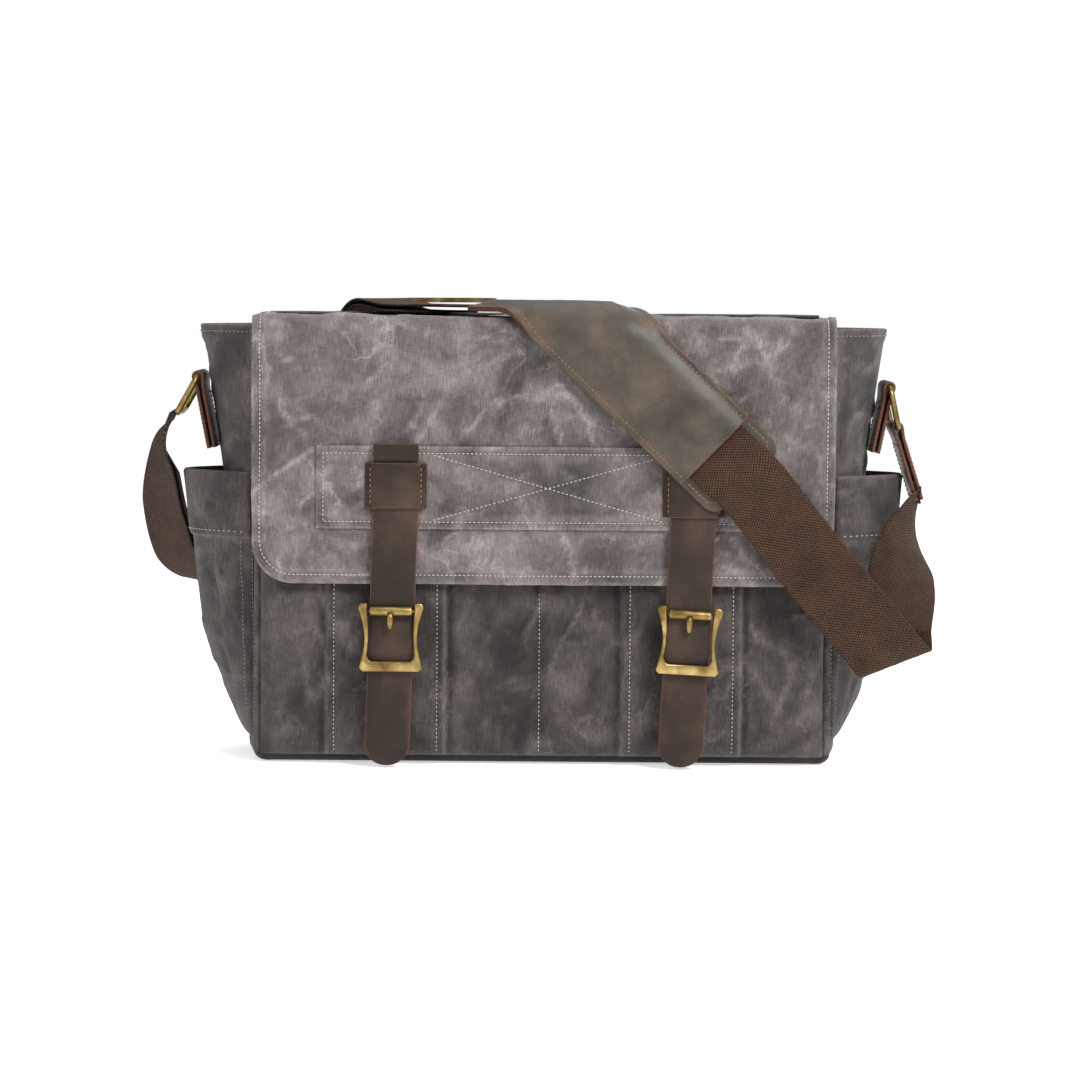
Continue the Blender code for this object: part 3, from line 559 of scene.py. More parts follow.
CANVAS = canvas_material("canvas", (0.048, 0.040, 0.038), (0.094, 0.079, 0.075), (0.156, 0.135, 0.129))
# the body's canvas is a darker copy of the flap's: partly a darker cloth, partly painted shade for the body lying in
# the flap's shade
SHADED_BODY_CANVAS = canvas_material("canvas_body_shaded", (0.017, 0.0135, 0.012), (0.037, 0.030, 0.027),
                              (0.072, 0.061, 0.056), 0.9)
CANVAS_BASE = canvas_material("canvas_base", (0.014, 0.012, 0.011), (0.022, 0.019, 0.017),
                              (0.036, 0.031, 0.029), 0.2)
LINING = canvas_material("lining_cloth_look", (0.045, 0.036, 0.026), (0.066, 0.054, 0.040),
                         (0.10, 0.085, 0.066), 0.2)
LEATHER = leather_material("strap_leather", (0.010, 0.0045, 0.0022), (0.021, 0.0105, 0.0055), (0.054, 0.031, 0.019))
PAD_LEATHER = leather_material("pad_leather", (0.022, 0.018, 0.013), (0.050, 0.041, 0.031),
                               (0.110, 0.076, 0.052), (0.36, 0.52))
RAW_EDGE = raw_edge_material()
WEBBING = webbing_material("webbing_look", (0.010, 0.005, 0.003), (0.094, 0.051, 0.032))
BRASS = brass_material()
THREAD = thread_material("pale_thread", (0.30, 0.27, 0.255), (0.46, 0.43, 0.41))
DARK_THREAD = thread_material("grey_thread", (0.12, 0.10, 0.095), (0.26, 0.23, 0.22))
RUST_THREAD = thread_material("rust_thread", (0.15, 0.055, 0.022), (0.32, 0.13, 0.060))


# ================================================================ bag body
def crease(z):
    return CREASE_BASE + CREASE_RISE * (max(z, 0.0) / BODY_HEIGHT) ** CREASE_POWER


def gusset_x(y, z):
    bulge = math.cos(math.pi / 2 * min(abs(y) / GUSSET_HALF_DEPTH, 1.0))
    return GUSSET_EDGE + (crease(z) - GUSSET_EDGE) * bulge


BASE_ROUND = 9.0
BODY_WALL = 3.6


def body_outline():
    """Marks round the bag: (part, place), front, right gusset, back, left gusset."""
    wide = lines(-HALF_WIDTH, HALF_WIDTH, 4.0, (1.2, 2.4, 4.0))
    gusset = lines(-HALF_DEPTH, HALF_DEPTH, 4.0, (1.2, 2.4, 4.0))
    marks = [("front", x) for x in wide[:-1]]
    marks += [("right", y) for y in gusset[:-1]]
    marks += [("back", -x) for x in wide[:-1]]
    marks += [("left", -y) for y in gusset[:-1]]
    return marks


def body_folds(part, place, z):
    if part in ("front", "back"):
        return crumple(place + (300.0 if part == "back" else 0.0), z * 0.8, 1.0, 78.0)
    return crumple(place + 90.0 * SIDES[part], z * 0.62, 5.0, 50.0)


def body_point(part, place, z, inset):
    """A point of the body shell, inset from its outer face."""
    foot = BASE_ROUND - math.sqrt(max(BASE_ROUND ** 2 - max(BASE_ROUND - z, 0.0) ** 2, 0.0))
    folds = body_folds(part, place, z)[0] * clamp(z / 30.0)
    if part in ("front", "back"):
        side = -1 if part == "front" else 1
        share = 1 - (abs(place) / HALF_WIDTH) ** 6
        tall = math.sin(math.pi * clamp(z / BODY_HEIGHT))
        top = ease((BODY_HEIGHT + 4 - z) / 40.0)
        swell = 1.5 if part == "front" else 5.0
        fold = folds * (2.0 if part == "front" else 6.5) * top
        depth = HALF_DEPTH - 0.6 + share * (swell * tall + fold) - inset - foot
        ridge_line = 1.1 * bump(HALF_WIDTH - abs(place), 2.4)
        x = place * (HALF_WIDTH - foot - inset * 0.9) / HALF_WIDTH
        return (x, side * (depth + ridge_line), z)
    side = SIDES[part]
    share = 1 - (abs(place) / HALF_DEPTH) ** 4
    fold = folds * 4.0 * share
    if CUFF_LOW.z - 40.0 < z < BODY_HEIGHT and fold > 0:
        fold *= 0.4 + 0.6 * ease((abs(place) - 27.0) / 8.0)
    ridge_line = 1.4 * bump(HALF_DEPTH - abs(place), 2.4) + 0.9 * bump(place, 2.0)
    x = gusset_x(place, z) + max(fold, -2.0) + ridge_line - inset - foot
    return (side * x, place * (HALF_DEPTH - foot - inset * 0.9) / HALF_DEPTH, z)


def build_body():
    """One lofted shell: panels, gussets and base outside, lining inside."""
    builder = bmesh.new()
    uv_layer = builder.loops.layers.uv.new("UVMap")
    places = {}
    marks = body_outline()
    count = len(marks)
    walked = [0.0]
    for (part, a), (other, b) in zip(marks, marks[1:]):
        walked.append(walked[-1] + (abs(b - a) if part == other else 1.5))
    foot_levels = [0.2, 0.8, 2.2, 4.5, 7.0]
    levels = foot_levels + steps(9.0, BODY_HEIGHT - 10.0, 74) + [BODY_HEIGHT - 7, BODY_HEIGHT - 5, BODY_HEIGHT - 1]

    def add_ring(z, inset):
        ring = []
        for (part, place), along in zip(marks, walked):
            vertex = builder.verts.new(body_point(part, place, z, inset))
            places[vertex] = (along * MM, z * MM)
            ring.append(vertex)
        return ring

    hem_out = 0.7
    ring_levels = [(z, -hem_out if z > BODY_HEIGHT - 9.5 else 0.0) for z in levels]
    ring_levels += [(BODY_HEIGHT, BODY_WALL * 0.3), (BODY_HEIGHT, BODY_WALL * 0.8)]
    outer_count = len(ring_levels)
    ring_levels += [(z, BODY_WALL) for z in reversed(steps(9.0, BODY_HEIGHT - 1.0, 24))]
    rings = [add_ring(z, inset) for z, inset in ring_levels]
    for number, (here, there) in enumerate(zip(rings, rings[1:])):
        for k in range(count):
            n = (k + 1) % count
            face = builder.faces.new((here[k], here[n], there[n], there[k]))
            if number >= outer_count - 1:
                face.material_index = 1
            elif levels[min(number, len(levels) - 1)] < 7.0:
                face.material_index = 2
    for ring, number in ((rings[0], 2), (rings[-1], 1)):
        middle = sum((v.co for v in ring), Vector()) / count
        centre = builder.verts.new(middle)
        places[centre] = (0.0, 0.0)
        for k in range(count):
            face = builder.faces.new((ring[k], ring[(k + 1) % count], centre))
            face.material_index = number
    for face in builder.faces:
        for loop in face.loops:
            loop[uv_layer].uv = places[loop.vert]
    wear_and_shade_values = []
    for z in [ring_z for ring_z, _ in ring_levels]:
        for part, place in marks:
            edge = HALF_WIDTH - abs(place) if part in ("front", "back") else HALF_DEPTH - abs(place)
            _, rub, shade = body_folds(part, place, z)
            rub += 0.6 * bump(edge, 2.0) + 0.6 * bump(BODY_HEIGHT - z, 2.0)
            # pale rubbed seam edges and mouth; painted shade in the fold hollows and in the recess just inside the
            # seams
            wear_and_shade_values.append((rub, shade + 0.5 * bump(edge - 4.0, 2.0)))
    shell = new_object("bag_body", builder, [SHADED_BODY_CANVAS, LINING, CANVAS_BASE])
    paint_wear_and_shade(shell, wear_and_shade_values)
    settle(shell, "bag",
           ("front_panel", "back_panel", "base_panel", "left_gusset", "right_gusset", "lining"))
    build_body_stitches()


def build_body_stitches():
    """Topstitching round the mouth and beside the gusset seams."""
    for part, side in SIDES.items():
        def surface(y, z, height, part=part):
            return body_point(part, y, z, -height)

        top = BODY_HEIGHT - 5.0
        rows = [[(y, top) for y in steps(-HALF_DEPTH + 1, HALF_DEPTH - 1, 20)]]
        rows += [[(edge, 12.0), (edge, top - 2.0)] for edge in (-HALF_DEPTH + 5.5, HALF_DEPTH - 5.5)]
        stitches = stitch_row(part + "_gusset_stitches", rows, surface, DARK_THREAD, lift=1.0)
        settle(stitches, "bag")

    def back(x, z, height):
        return body_point("back", x, z, -height)

    edge = HALF_WIDTH - 6.0
    rows = [[(-edge, 12.0), (-edge, 290.0)], [(edge, 12.0), (edge, 290.0)], [(-edge, 14.0), (edge, 14.0)]]
    settle(stitch_row("back_stitches", rows, back, DARK_THREAD, lift=0.4), "bag")

    low, high = node_box("flap_seam_strip")

    def strip(x, z, height):
        return (x, low.y + height + wrinkle(x, z, 12.0) * 0.4, z)

    band = sheet("flap_seam_band", strip, lines(low.x, high.x, 8.0), lines(low.z, high.z, 4.0, (1.0,)),
                 -0.4, 2.0, [SHADED_BODY_CANVAS])
    settle(round_edges(band, 0.6), "bag", ("flap_seam_strip",))
    rows = [[(low.x + 4, z), (high.x - 4, z)] for z in (low.z + 4, high.z - 5)]
    settle(stitch_row("flap_seam_stitches", rows, strip, DARK_THREAD, lift=2.2), "bag")


def build_hinge_cloth():
    """The canvas that carries on from the back panel over the mouth into the flap."""
    rise = BODY_HEIGHT + 4.0
    path = [(HALF_DEPTH + 0.5, 282.0), (HALF_DEPTH + 1.0, 292.0), (HALF_DEPTH + 2.6, 300.0),
            (HALF_DEPTH + 3.9, rise), (HALF_DEPTH + 2.4, FLAP_TOP + 0.4), (HALF_DEPTH - 2.0, FLAP_TOP + 1.3),
            (HALF_DEPTH - 8.0, FLAP_TOP + 1.2), (HALF_DEPTH - 14.0, FLAP_TOP + 0.6)]

    def surface(x, t, height):
        i = min(int(t), len(path) - 2)
        share = t - i
        y0, z0 = path[i]
        y1, z1 = path[i + 1]
        out = Vector((0.0, z1 - z0, -(y1 - y0))).normalized()
        swell = wrinkle(x, t * 6.0, 41.0, 40.0) * 0.5
        return (x, y0 + (y1 - y0) * share + out.y * (height + swell), z0 + (z1 - z0) * share + out.z * (height + swell))

    half = FLAP_HALF_WIDTH - 4.0
    cloth = sheet("hinge_cloth", surface, lines(-half, half, 4.0, (1.0, 3.0)), steps(0.0, len(path) - 1.0, 28),
                  -1.0, 0.8, [SHADED_BODY_CANVAS], (1.0, 7.0), wear_and_painted_shade=lambda x, t: (0.6 * bump(t - 3.6, 0.7), 0.0))
    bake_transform(cloth)


def build_divider():
    """A foam panel in lining cloth that keeps a laptop apart."""
    low, high = node_box("laptop_divider")
    middle = (low.y + high.y) / 2

    def face(side):
        def surface(x, z, height):
            edge = min(x - low.x, high.x - x, z - low.z, high.z - z)
            puff = 2.6 * ease(edge / 14.0) + 0.4
            return (x, middle + side * (puff + height), z)
        return surface

    xs = lines(low.x, high.x, 12.0, (2.0, 6.0, 12.0))
    zs = lines(low.z, high.z, 12.0, (2.0, 6.0, 12.0))
    front = face(-1)
    back = face(1)

    def both(x, z, height):
        return front(x, z, 0.0) if height > 0 else back(x, z, 0.0)

    panel = sheet("divider_panel", both, xs, zs, -1.0, 1.0, [LINING])
    settle(panel, "bag", ("laptop_divider",))
    inset = 9.0
    row = [(low.x + inset, low.z + inset), (high.x - inset, low.z + inset), (high.x - inset, high.z - inset),
           (low.x + inset, high.z - inset), (low.x + inset, low.z + inset)]
    settle(stitch_row("divider_stitches", [row], front, DARK_THREAD, lift=0.1), "bag")


# ================================================================ pockets
PLEATS = ((-149.0, -67.0), (55.0, 137.0))
PLEAT_RISE = 3.2


def pocket_folds(x, z):
    return crumple(x * 1.2 + 200.0, z * 0.62, 21.0, 50.0)


def pocket_depth(x, z):
    """How far the front pocket's face stands from the middle of the bag."""
    edge = min(x - POCKET_LOW.x, POCKET_HIGH.x - x)
    rim = HALF_DEPTH + 1.0
    face = 73.0
    side = math.sqrt(1 - (1 - clamp(edge / 24.0)) ** 2)
    foot = math.sqrt(1 - (1 - clamp((z - POCKET_LOW.z + 0.4) / 14.0)) ** 2)
    seam = 1.0 - 0.16 * bump(x + 2.0, 4.0) * ease((z - 12) / 30.0)
    fold = pocket_folds(x, z)[0] * 6.0 * ease((z - 6) / 22.0)
    belly = 2.2 * math.sin(math.pi * clamp((z - 5) / 175.0))
    depth = rim + ((face - rim) * seam + fold + belly) * side * foot
    for start, end in PLEATS:
        inside = min(x - start, end - x)
        depth += (PLEAT_RISE + 0.6) * ease((inside + 0.8) / 1.6) * side * foot
        depth -= 1.6 * bump(inside + 2.4, 2.0) * foot
        depth -= 0.7 * bump(inside - 5.5, 1.2) * foot
        depth -= fold * 0.5 * ease((inside + 4.0) / 8.0)
    limit = 81.5
    for name in SIDES:
        centre = keeper_place(name)[0]
        limit = min(limit, 80.0 + 4.0 * ease((abs(x - centre) - 20.0) / 8.0))
    limit += (75.6 - limit) * ease((z - 108.0) / 14.0)
    return min(depth, limit)


def pocket_wear_and_shade(x, z):
    _, rub, shade = pocket_folds(x, z)
    rub *= 0.9
    # painted shade in the fold hollows, and painted shadow of the flap over the pocket's upper part
    shade = 0.8 * shade + 0.5 * ease((z - 112.0) / 14.0)
    for start, end in PLEATS:
        inside = min(x - start, end - x)
        rub += 0.8 * bump(inside, 1.5) + 0.25 * bump(inside - 8.5, 2.0)
        # painted shade in the recesses beside the pleats
        shade += 0.9 * bump(inside + 3.4, 2.6) + 0.25 * bump(inside - 5.5, 1.0)
    # painted shade along the middle seam and the pocket's foot
    shade += 0.5 * bump(x + 2.0, 3.0) + 0.5 * bump(z - POCKET_LOW.z, 5.0)
    rub += 0.3 * bump(min(x - POCKET_LOW.x, POCKET_HIGH.x - x) - 10.0, 5.0)
    return rub, shade


def pocket_surface(x, z, height):
    return (x, -pocket_depth(x, z) - height, z)


def build_front_pocket():
    xs = lines(POCKET_LOW.x, POCKET_HIGH.x, 3.0, (0.6, 1.6, 3.2, 6.0, 9.0))
    for start, end in PLEATS:
        for edge in (start, end):
            xs += [edge - 2.4, edge - 0.9, edge, edge + 0.9, edge + 2.4]
    xs = sorted(set(round(x, 2) for x in xs))
    zs = lines(POCKET_LOW.z, POCKET_HIGH.z + 1.0, 3.2, (0.6, 2.0, 4.5, 8.0))
    pocket = sheet("front_pocket_cloth", pocket_surface, xs, zs, -1.8, 0.0, [SHADED_BODY_CANVAS],
                   wear_and_painted_shade=pocket_wear_and_shade)
    settle(pocket, "bag", ("front_pocket",))
    rows = []
    for start, end in PLEATS:
        rows += [[(start + 5.5, 9.0), (start + 5.5, 162.0)], [(end - 5.5, 9.0), (end - 5.5, 162.0)]]
    rows.append([(-2.0, 9.0), (-2.0, 162.0)])
    settle(stitch_row("pocket_stitches", rows, pocket_surface, THREAD, lift=0.15, radius=0.36, length=1.9),
           "bag")
    row = [[(POCKET_LOW.x + 8, 161.0), (POCKET_HIGH.x - 8, 161.0)]]
    settle(stitch_row("pocket_hem_stitches", row, pocket_surface, DARK_THREAD, lift=0.1), "bag")


SIDE_POCKET_HALF = 54.0
SIDE_POCKET_DEPTH = 22.0
SIDE_POCKET_BOTTOM = node_box("right_side_pocket")[0].z
CUFF_LOW, CUFF_HIGH = node_box("right_pocket_cuff")


def side_pocket_lift(y, z):
    rise = min(1.0, max(0.0, (z - SIDE_POCKET_BOTTOM) / 75.0)) ** 0.7
    return SIDE_POCKET_DEPTH * rise * math.cos(math.pi / 2 * min(abs(y) / SIDE_POCKET_HALF, 1.0))


def side_folds(side, y, z):
    return crumple(y + 70.0 * side, z * 0.55, 30.0, 42.0)


def side_surface(side):
    def surface(y, z, height):
        away = SIDE_POCKET_HALF - abs(y)
        loose = ease(away / 9.0)
        fold = side_folds(side, y, z)[0] * 3.6 * loose * ease((z - 20) / 30.0)
        fold *= 0.5 if z > CUFF_LOW.z else 1.0
        pleat = -3.0 * bump(abs(y) - 30.0, 3.0) * ease((CUFF_LOW.z + 4 - z) / 10.0) * ease((z - 24) / 30.0)
        belly = 3.0 * math.sin(math.pi * clamp((z - 18) / 190.0)) * math.cos(math.pi / 2 * clamp(abs(y) / 54.0))
        lift = side_pocket_lift(y, z) + 0.5 + 1.1 * loose + max(fold, -1.2) + (pleat + belly) * loose
        return (side * (gusset_x(y, z) + lift + height), y, z)
    return surface


def build_side_pockets():
    ys = lines(-SIDE_POCKET_HALF, SIDE_POCKET_HALF, 4.0, (1.0, 3.0))
    for name, side in SIDES.items():
        surface = side_surface(side)

        def wear_and_painted_shade(y, z, side=side):
            _, rub, shade = side_folds(side, y, z)
            rim = bump(CUFF_HIGH.z - z, 2.0) + bump(z - CUFF_LOW.z, 1.6)
            # pale rubbed cuff edges; painted shade in the fold hollows and just under the cuff
            return rub + 0.7 * rim, shade + 0.6 * bump(z - CUFF_LOW.z + 3.0, 2.5)

        pocket = sheet(name + "_pocket_cloth", surface, ys, lines(SIDE_POCKET_BOTTOM, CUFF_LOW.z + 3.0, 4.0, (1.0,)),
                       0.0, lambda y, z: 0.3 + 1.5 * ease((SIDE_POCKET_HALF - abs(y) + 0.5) / 2.0), [SHADED_BODY_CANVAS],
                       wear_and_painted_shade=wear_and_painted_shade)
        settle(pocket, "bag", (name + "_side_pocket",))

        def thickness(y, z):
            edge = min(z - CUFF_LOW.z, CUFF_HIGH.z - z)
            return 3.2 * math.sqrt(clamp((edge + 0.5) / 2.5)) + 0.3

        cuff = sheet(name + "_cuff_cloth", surface, ys, lines(CUFF_LOW.z, CUFF_HIGH.z, 4.0, (0.6, 1.6, 3.0)),
                     0.0, thickness, [SHADED_BODY_CANVAS],
                     wear_and_painted_shade=wear_and_painted_shade)
        settle(cuff, "bag", (name + "_pocket_cuff",))
        rows = [[(y, z) for y in steps(-SIDE_POCKET_HALF + 2, SIDE_POCKET_HALF - 2, 24)]
                for z in (CUFF_LOW.z + 5.0,)]
        settle(stitch_row(name + "_cuff_stitches", rows, surface, THREAD, lift=3.6, radius=0.36),
               "bag")
        rows = [[(y, 26.0), (y, CUFF_LOW.z - 1)] for y in (-SIDE_POCKET_HALF + 5, SIDE_POCKET_HALF - 5)]
        settle(stitch_row(name + "_pocket_stitches", rows, surface, DARK_THREAD, lift=1.9), "bag")


# ================================================================ flap
def flap_point(x, u, height):
    """The flap's outer face unrolled: u is 0 at the front bend and grows over the top."""
    if u > BEND_HALF:
        return (x, -(FLAP_FRONT - FLAP_BEND) + u - BEND_HALF, FLAP_TOP + height)
    if u < -BEND_HALF:
        return (x, -FLAP_FRONT - height, FLAP_TOP - FLAP_BEND + u + BEND_HALF)
    turn = math.pi / 4 - u / FLAP_BEND
    radius = FLAP_BEND + height
    return (x, -(FLAP_FRONT - FLAP_BEND) - radius * math.sin(turn),
            FLAP_TOP - FLAP_BEND + radius * math.cos(turn))


def flap_u(z):
    return z - (FLAP_TOP - FLAP_BEND) - BEND_HALF


FLAP_U_BACK = FLAP_BACK + (FLAP_FRONT - FLAP_BEND) + BEND_HALF
FLAP_U_FRONT = flap_u(FLAP_LOW.z)
BAND_U = (flap_u(BAND_LOW.z), flap_u(BAND_HIGH.z))


def flap_edge(x, u):
    """Distance inside the flap's outline, with its two rounded lower corners."""
    across = FLAP_HALF_WIDTH - abs(x)
    up = u - FLAP_U_FRONT
    if across < FLAP_CORNER and up < FLAP_CORNER:
        return FLAP_CORNER - math.hypot(FLAP_CORNER - across, FLAP_CORNER - up)
    return min(across, up)


def flap_room(x, u):
    """1 where the flap is free to swell, 0 under the straps, keepers and shoulder pad."""
    room = 1.0
    for name in SIDES:
        centre = keeper_place(name)[0]
        top = flap_u(225.0)
        beside = ease((abs(x - centre) - 23.0) / 9.0)
        room = min(room, max(beside, ease((u - top) / 12.0)))
    along = (x - PAD_ORIGIN_X) * PAD_DIRECTION[0] + u * PAD_DIRECTION[1]
    across = (x - PAD_ORIGIN_X) * PAD_DIRECTION[1] - u * PAD_DIRECTION[0]
    beside = ease((abs(across) - PAD_HALF - 1.0) / 10.0)
    beyond = ease((PAD_LOWER - 2.0 - along) / 12.0)
    return min(room, max(beside, beyond))


def flap_folds(x, u):
    """The flap's (height, rub, shade): calm under the band, livelier above and along the lower edge."""
    height, rub, shade = crumple(x + 30.0, u * 0.95, 2.5, 66.0)
    small, small_rub, _ = crumple(x * 1.1, u, 8.0, 30.0)
    band = ease((min(u - BAND_U[0], BAND_U[1] - u) + 8.0) / 14.0) * ease((158.0 - abs(x + 6.0)) / 10.0)
    calm = (1.0 - 0.72 * band) * (1.0 - 0.45 * ease((u + 12) / 20.0))
    value = (height * 5.2 + small * 1.0) * calm
    droop = 1.8 * ease((FLAP_U_FRONT + 34.0 - u) / 34.0) * noise.noise(Vector((x / 60.0, 4.0, 0.0)))
    value += droop
    if value > 0:
        value *= flap_room(x, u)
    return max(value, -2.0), rub + 0.5 * small_rub, shade * (1.0 - 0.6 * band)


def flap_wrinkle(x, u):
    return flap_folds(x, u)[0]


def flap_surface(x, u, height):
    return flap_point(x, u, height + flap_wrinkle(x, u))


def flap_half_width(u):
    above = u - FLAP_U_FRONT
    soft = 1.6 * noise.noise(Vector((u / 55.0, 0.0, 3.0))) - 0.6
    if above >= FLAP_CORNER:
        return FLAP_HALF_WIDTH + soft
    round_off = math.sqrt(max(FLAP_CORNER ** 2 - (FLAP_CORNER - above) ** 2, 0.0))
    return FLAP_HALF_WIDTH + soft - FLAP_CORNER + round_off


def hem(edge):
    """A turned hem: raised, with the sewn line pulled in."""
    return 0.75 * ease((10.0 - edge) / 1.6) - 0.55 * bump(edge - 6.2, 1.0) - 0.5 * bump(edge, 0.8)


def build_flap():
    fine = (0.8, 2.2, 4.2, 5.4, 6.4, 7.6, 9.0, 11.0)
    span = lines(-FLAP_HALF_WIDTH, FLAP_HALF_WIDTH, 2.8, fine)
    shares = [x / FLAP_HALF_WIDTH for x in span]
    bottom = [FLAP_U_FRONT + d for d in (0.0, 0.25, 0.8, 1.7, 3.0, 4.4, 5.6, 6.6, 7.8, 9.2, 11.0, 14.0, 18.0, 22.0, 26.0)]
    us = bottom + steps(FLAP_U_FRONT + FLAP_CORNER, -BEND_HALF, 52) + steps(-BEND_HALF, BEND_HALF, 9)[1:]
    us += steps(BEND_HALF, FLAP_U_BACK, 44)[1:]

    def cloth(share, u, height):
        x = share * flap_half_width(u)
        return flap_surface(x, u, height)

    def outer(share, u):
        return hem(flap_edge(share * flap_half_width(u), u))

    def wear_and_painted_shade(share, u):
        x = share * flap_half_width(u)
        edge = flap_edge(x, u)
        rub, shade = flap_folds(x, u)[1:]
        rim = 0.55 * bump(edge, 2.0) + 0.35 * bump(edge - 9.5, 1.8)
        # painted shade beside the band's edges, where it stands on the flap
        band_edge_shade = bump(min(abs(u - BAND_U[0]), abs(u - BAND_U[1])), 2.5) * ease((152.0 - abs(x + 6.0)) / 4.0)
        # pale rubbed edges; painted shade in the fold hollows and along the hem's sewn line
        return rub + rim, 0.75 * shade + 0.35 * bump(edge - 6.2, 0.8) + 0.5 * band_edge_shade

    flap = sheet("flap_cloth", cloth, shares, us, -2.0, outer, [CANVAS], (FLAP_HALF_WIDTH, 1.0), wear_and_painted_shade=wear_and_painted_shade)
    settle(flap, "flap", ("flap_panel",))

    def under(share, u, height):
        return flap_surface(share * (flap_half_width(u) - 2.5), max(u, FLAP_U_FRONT + 1.5), height)

    facing = sheet("flap_facing", under, shares[::2] + [shares[-1]] if len(shares) % 2 == 0 else shares[::2],
                   us[::2] + ([us[-1]] if len(us) % 2 == 0 else []), -3.4, -2.3, [LINING],
                   (FLAP_HALF_WIDTH, 1.0))
    settle(facing, "flap", ("flap_lining",))

    inset = 6.2
    edge = FLAP_HALF_WIDTH - inset
    low = FLAP_U_FRONT + inset
    radius = FLAP_CORNER - inset
    row = [(-edge, FLAP_U_BACK - 4.0), (-edge, low + radius)]
    for angle in steps(math.pi, 1.5 * math.pi, 10):
        row.append((-edge + radius + radius * math.cos(angle), low + radius + radius * math.sin(angle)))
    for angle in steps(1.5 * math.pi, 2 * math.pi, 10):
        row.append((edge - radius + radius * math.cos(angle), low + radius + radius * math.sin(angle)))
    row += [(edge, low + radius), (edge, FLAP_U_BACK - 4.0)]
    settle(stitch_row("flap_stitches", [row], flap_surface, THREAD, lift=0.35), "flap")
    row = [(-edge, FLAP_U_BACK - 5.0), (edge, FLAP_U_BACK - 5.0)]
    settle(stitch_row("flap_back_stitches", [row], flap_surface, THREAD, lift=0.2), "flap")


def build_band():
    """The doubled canvas strip across the flap, with edge stitching and a long X."""
    x0, x1 = BAND_LOW.x, BAND_HIGH.x
    u0, u1 = BAND_U

    def thickness(x, u):
        edge = min(x - x0, x1 - x, u - u0, u1 - u)
        return 2.3 - 0.9 * bump(edge, 0.9) - 0.5 * bump(edge - 5.0, 1.1) + wrinkle(x, u, 14.0, 24.0) * 0.35

    def wear_and_painted_shade(x, u):
        edge = min(x - x0, x1 - x, u - u0, u1 - u)
        _, rub, shade = crumple(x, u, 17.0, 40.0)
        # pale rubbed edges; painted shade in the fold hollows
        return 0.7 * rub + 0.7 * bump(edge, 1.4) + 0.4 * bump(edge - 7.0, 1.4), 0.5 * shade

    band = sheet("band_cloth", flap_surface, lines(x0, x1, 3.0, (0.6, 1.6, 4.0, 5.0, 6.0, 8.0)),
                 lines(u0, u1, 3.0, (0.6, 1.6, 4.0, 5.0, 6.0, 8.0)), 0.1, thickness, [CANVAS], wear_and_painted_shade=wear_and_painted_shade)
    settle(band, "flap", ("flap_band",))
    inset = 5.0
    a, b, c, d = x0 + inset, x1 - inset, u0 + inset, u1 - inset
    rows = [[(a, c), (b, c), (b, d), (a, d), (a, c)]]
    left, right = -76.0, 82.0
    rows += [[(left, c + 1), (right, d - 1)], [(left, d - 1), (right, c + 1)]]
    settle(stitch_row("band_stitches", rows, flap_surface, THREAD, lift=2.35, radius=0.36, length=2.0),
           "flap")


# ================================================================ leather straps
STRAP_HALF = 15.5
STRAP_LEAN = {"left": -0.032, "right": -0.045}
KEEPER_DOWN = 2.0
TIP_FLOOR = 1.6


def keeper_place(name):
    """A keeper's middle across the bag, and its lower and upper edge."""
    low, high = KEEPER_BOXES[name]
    return (low.x + high.x) / 2, low.z, high.z


def strap_back_face(name):
    low, high = node_box(name + "_closure_strap")
    return -high.y - FLAP_FRONT, -low.y - FLAP_FRONT


def build_keeper(name):
    """A leather loop with sewn ears and a middle that arches over the strap."""
    centre, z_low, z_high = keeper_place(name)
    half = 21.0
    back, face = strap_back_face(name)
    shoulder = STRAP_HALF + 0.8

    def lift(x, u):
        away = abs(x - centre)
        ear = 2.5
        arch = face + 0.6 + 0.8 * (1 - (min(away, shoulder) / shoulder) ** 2)
        return ear + (arch - ear) * ease((half - 1.5 - away) / (half - 1.5 - shoulder))

    xs = steps(centre - half, centre + half, 36)
    us = lines(flap_u(z_low), flap_u(z_high), 3.0, (0.5, 1.4))

    def top(x, u):
        edge = min(u - flap_u(z_low), flap_u(z_high) - u, half - abs(x - centre))
        return lift(x, u) + 2.0 - 0.7 * bump(edge, 0.9)

    def calm(x, u, height):
        return flap_point(x, u, height)

    keeper = sheet(name + "_keeper_leather", calm, xs, us, lift, top, [LEATHER, RAW_EDGE], rim=1, raw=(0, 1))
    settle(keeper, "flap", (name + "_keeper",))
    stitch_x = half - 3.6

    def above(x, u, height):
        return flap_point(x, u, top(x, u) + height)

    rows = [[(centre + side * stitch_x, flap_u(z_low + 2.5)), (centre + side * stitch_x, flap_u(z_high - 2.5))]
            for side in (-1, 1)]
    settle(stitch_row(name + "_keeper_stitches", rows, above, RUST_THREAD, lift=0.15, pitch=3.4, length=2.4),
           "flap")


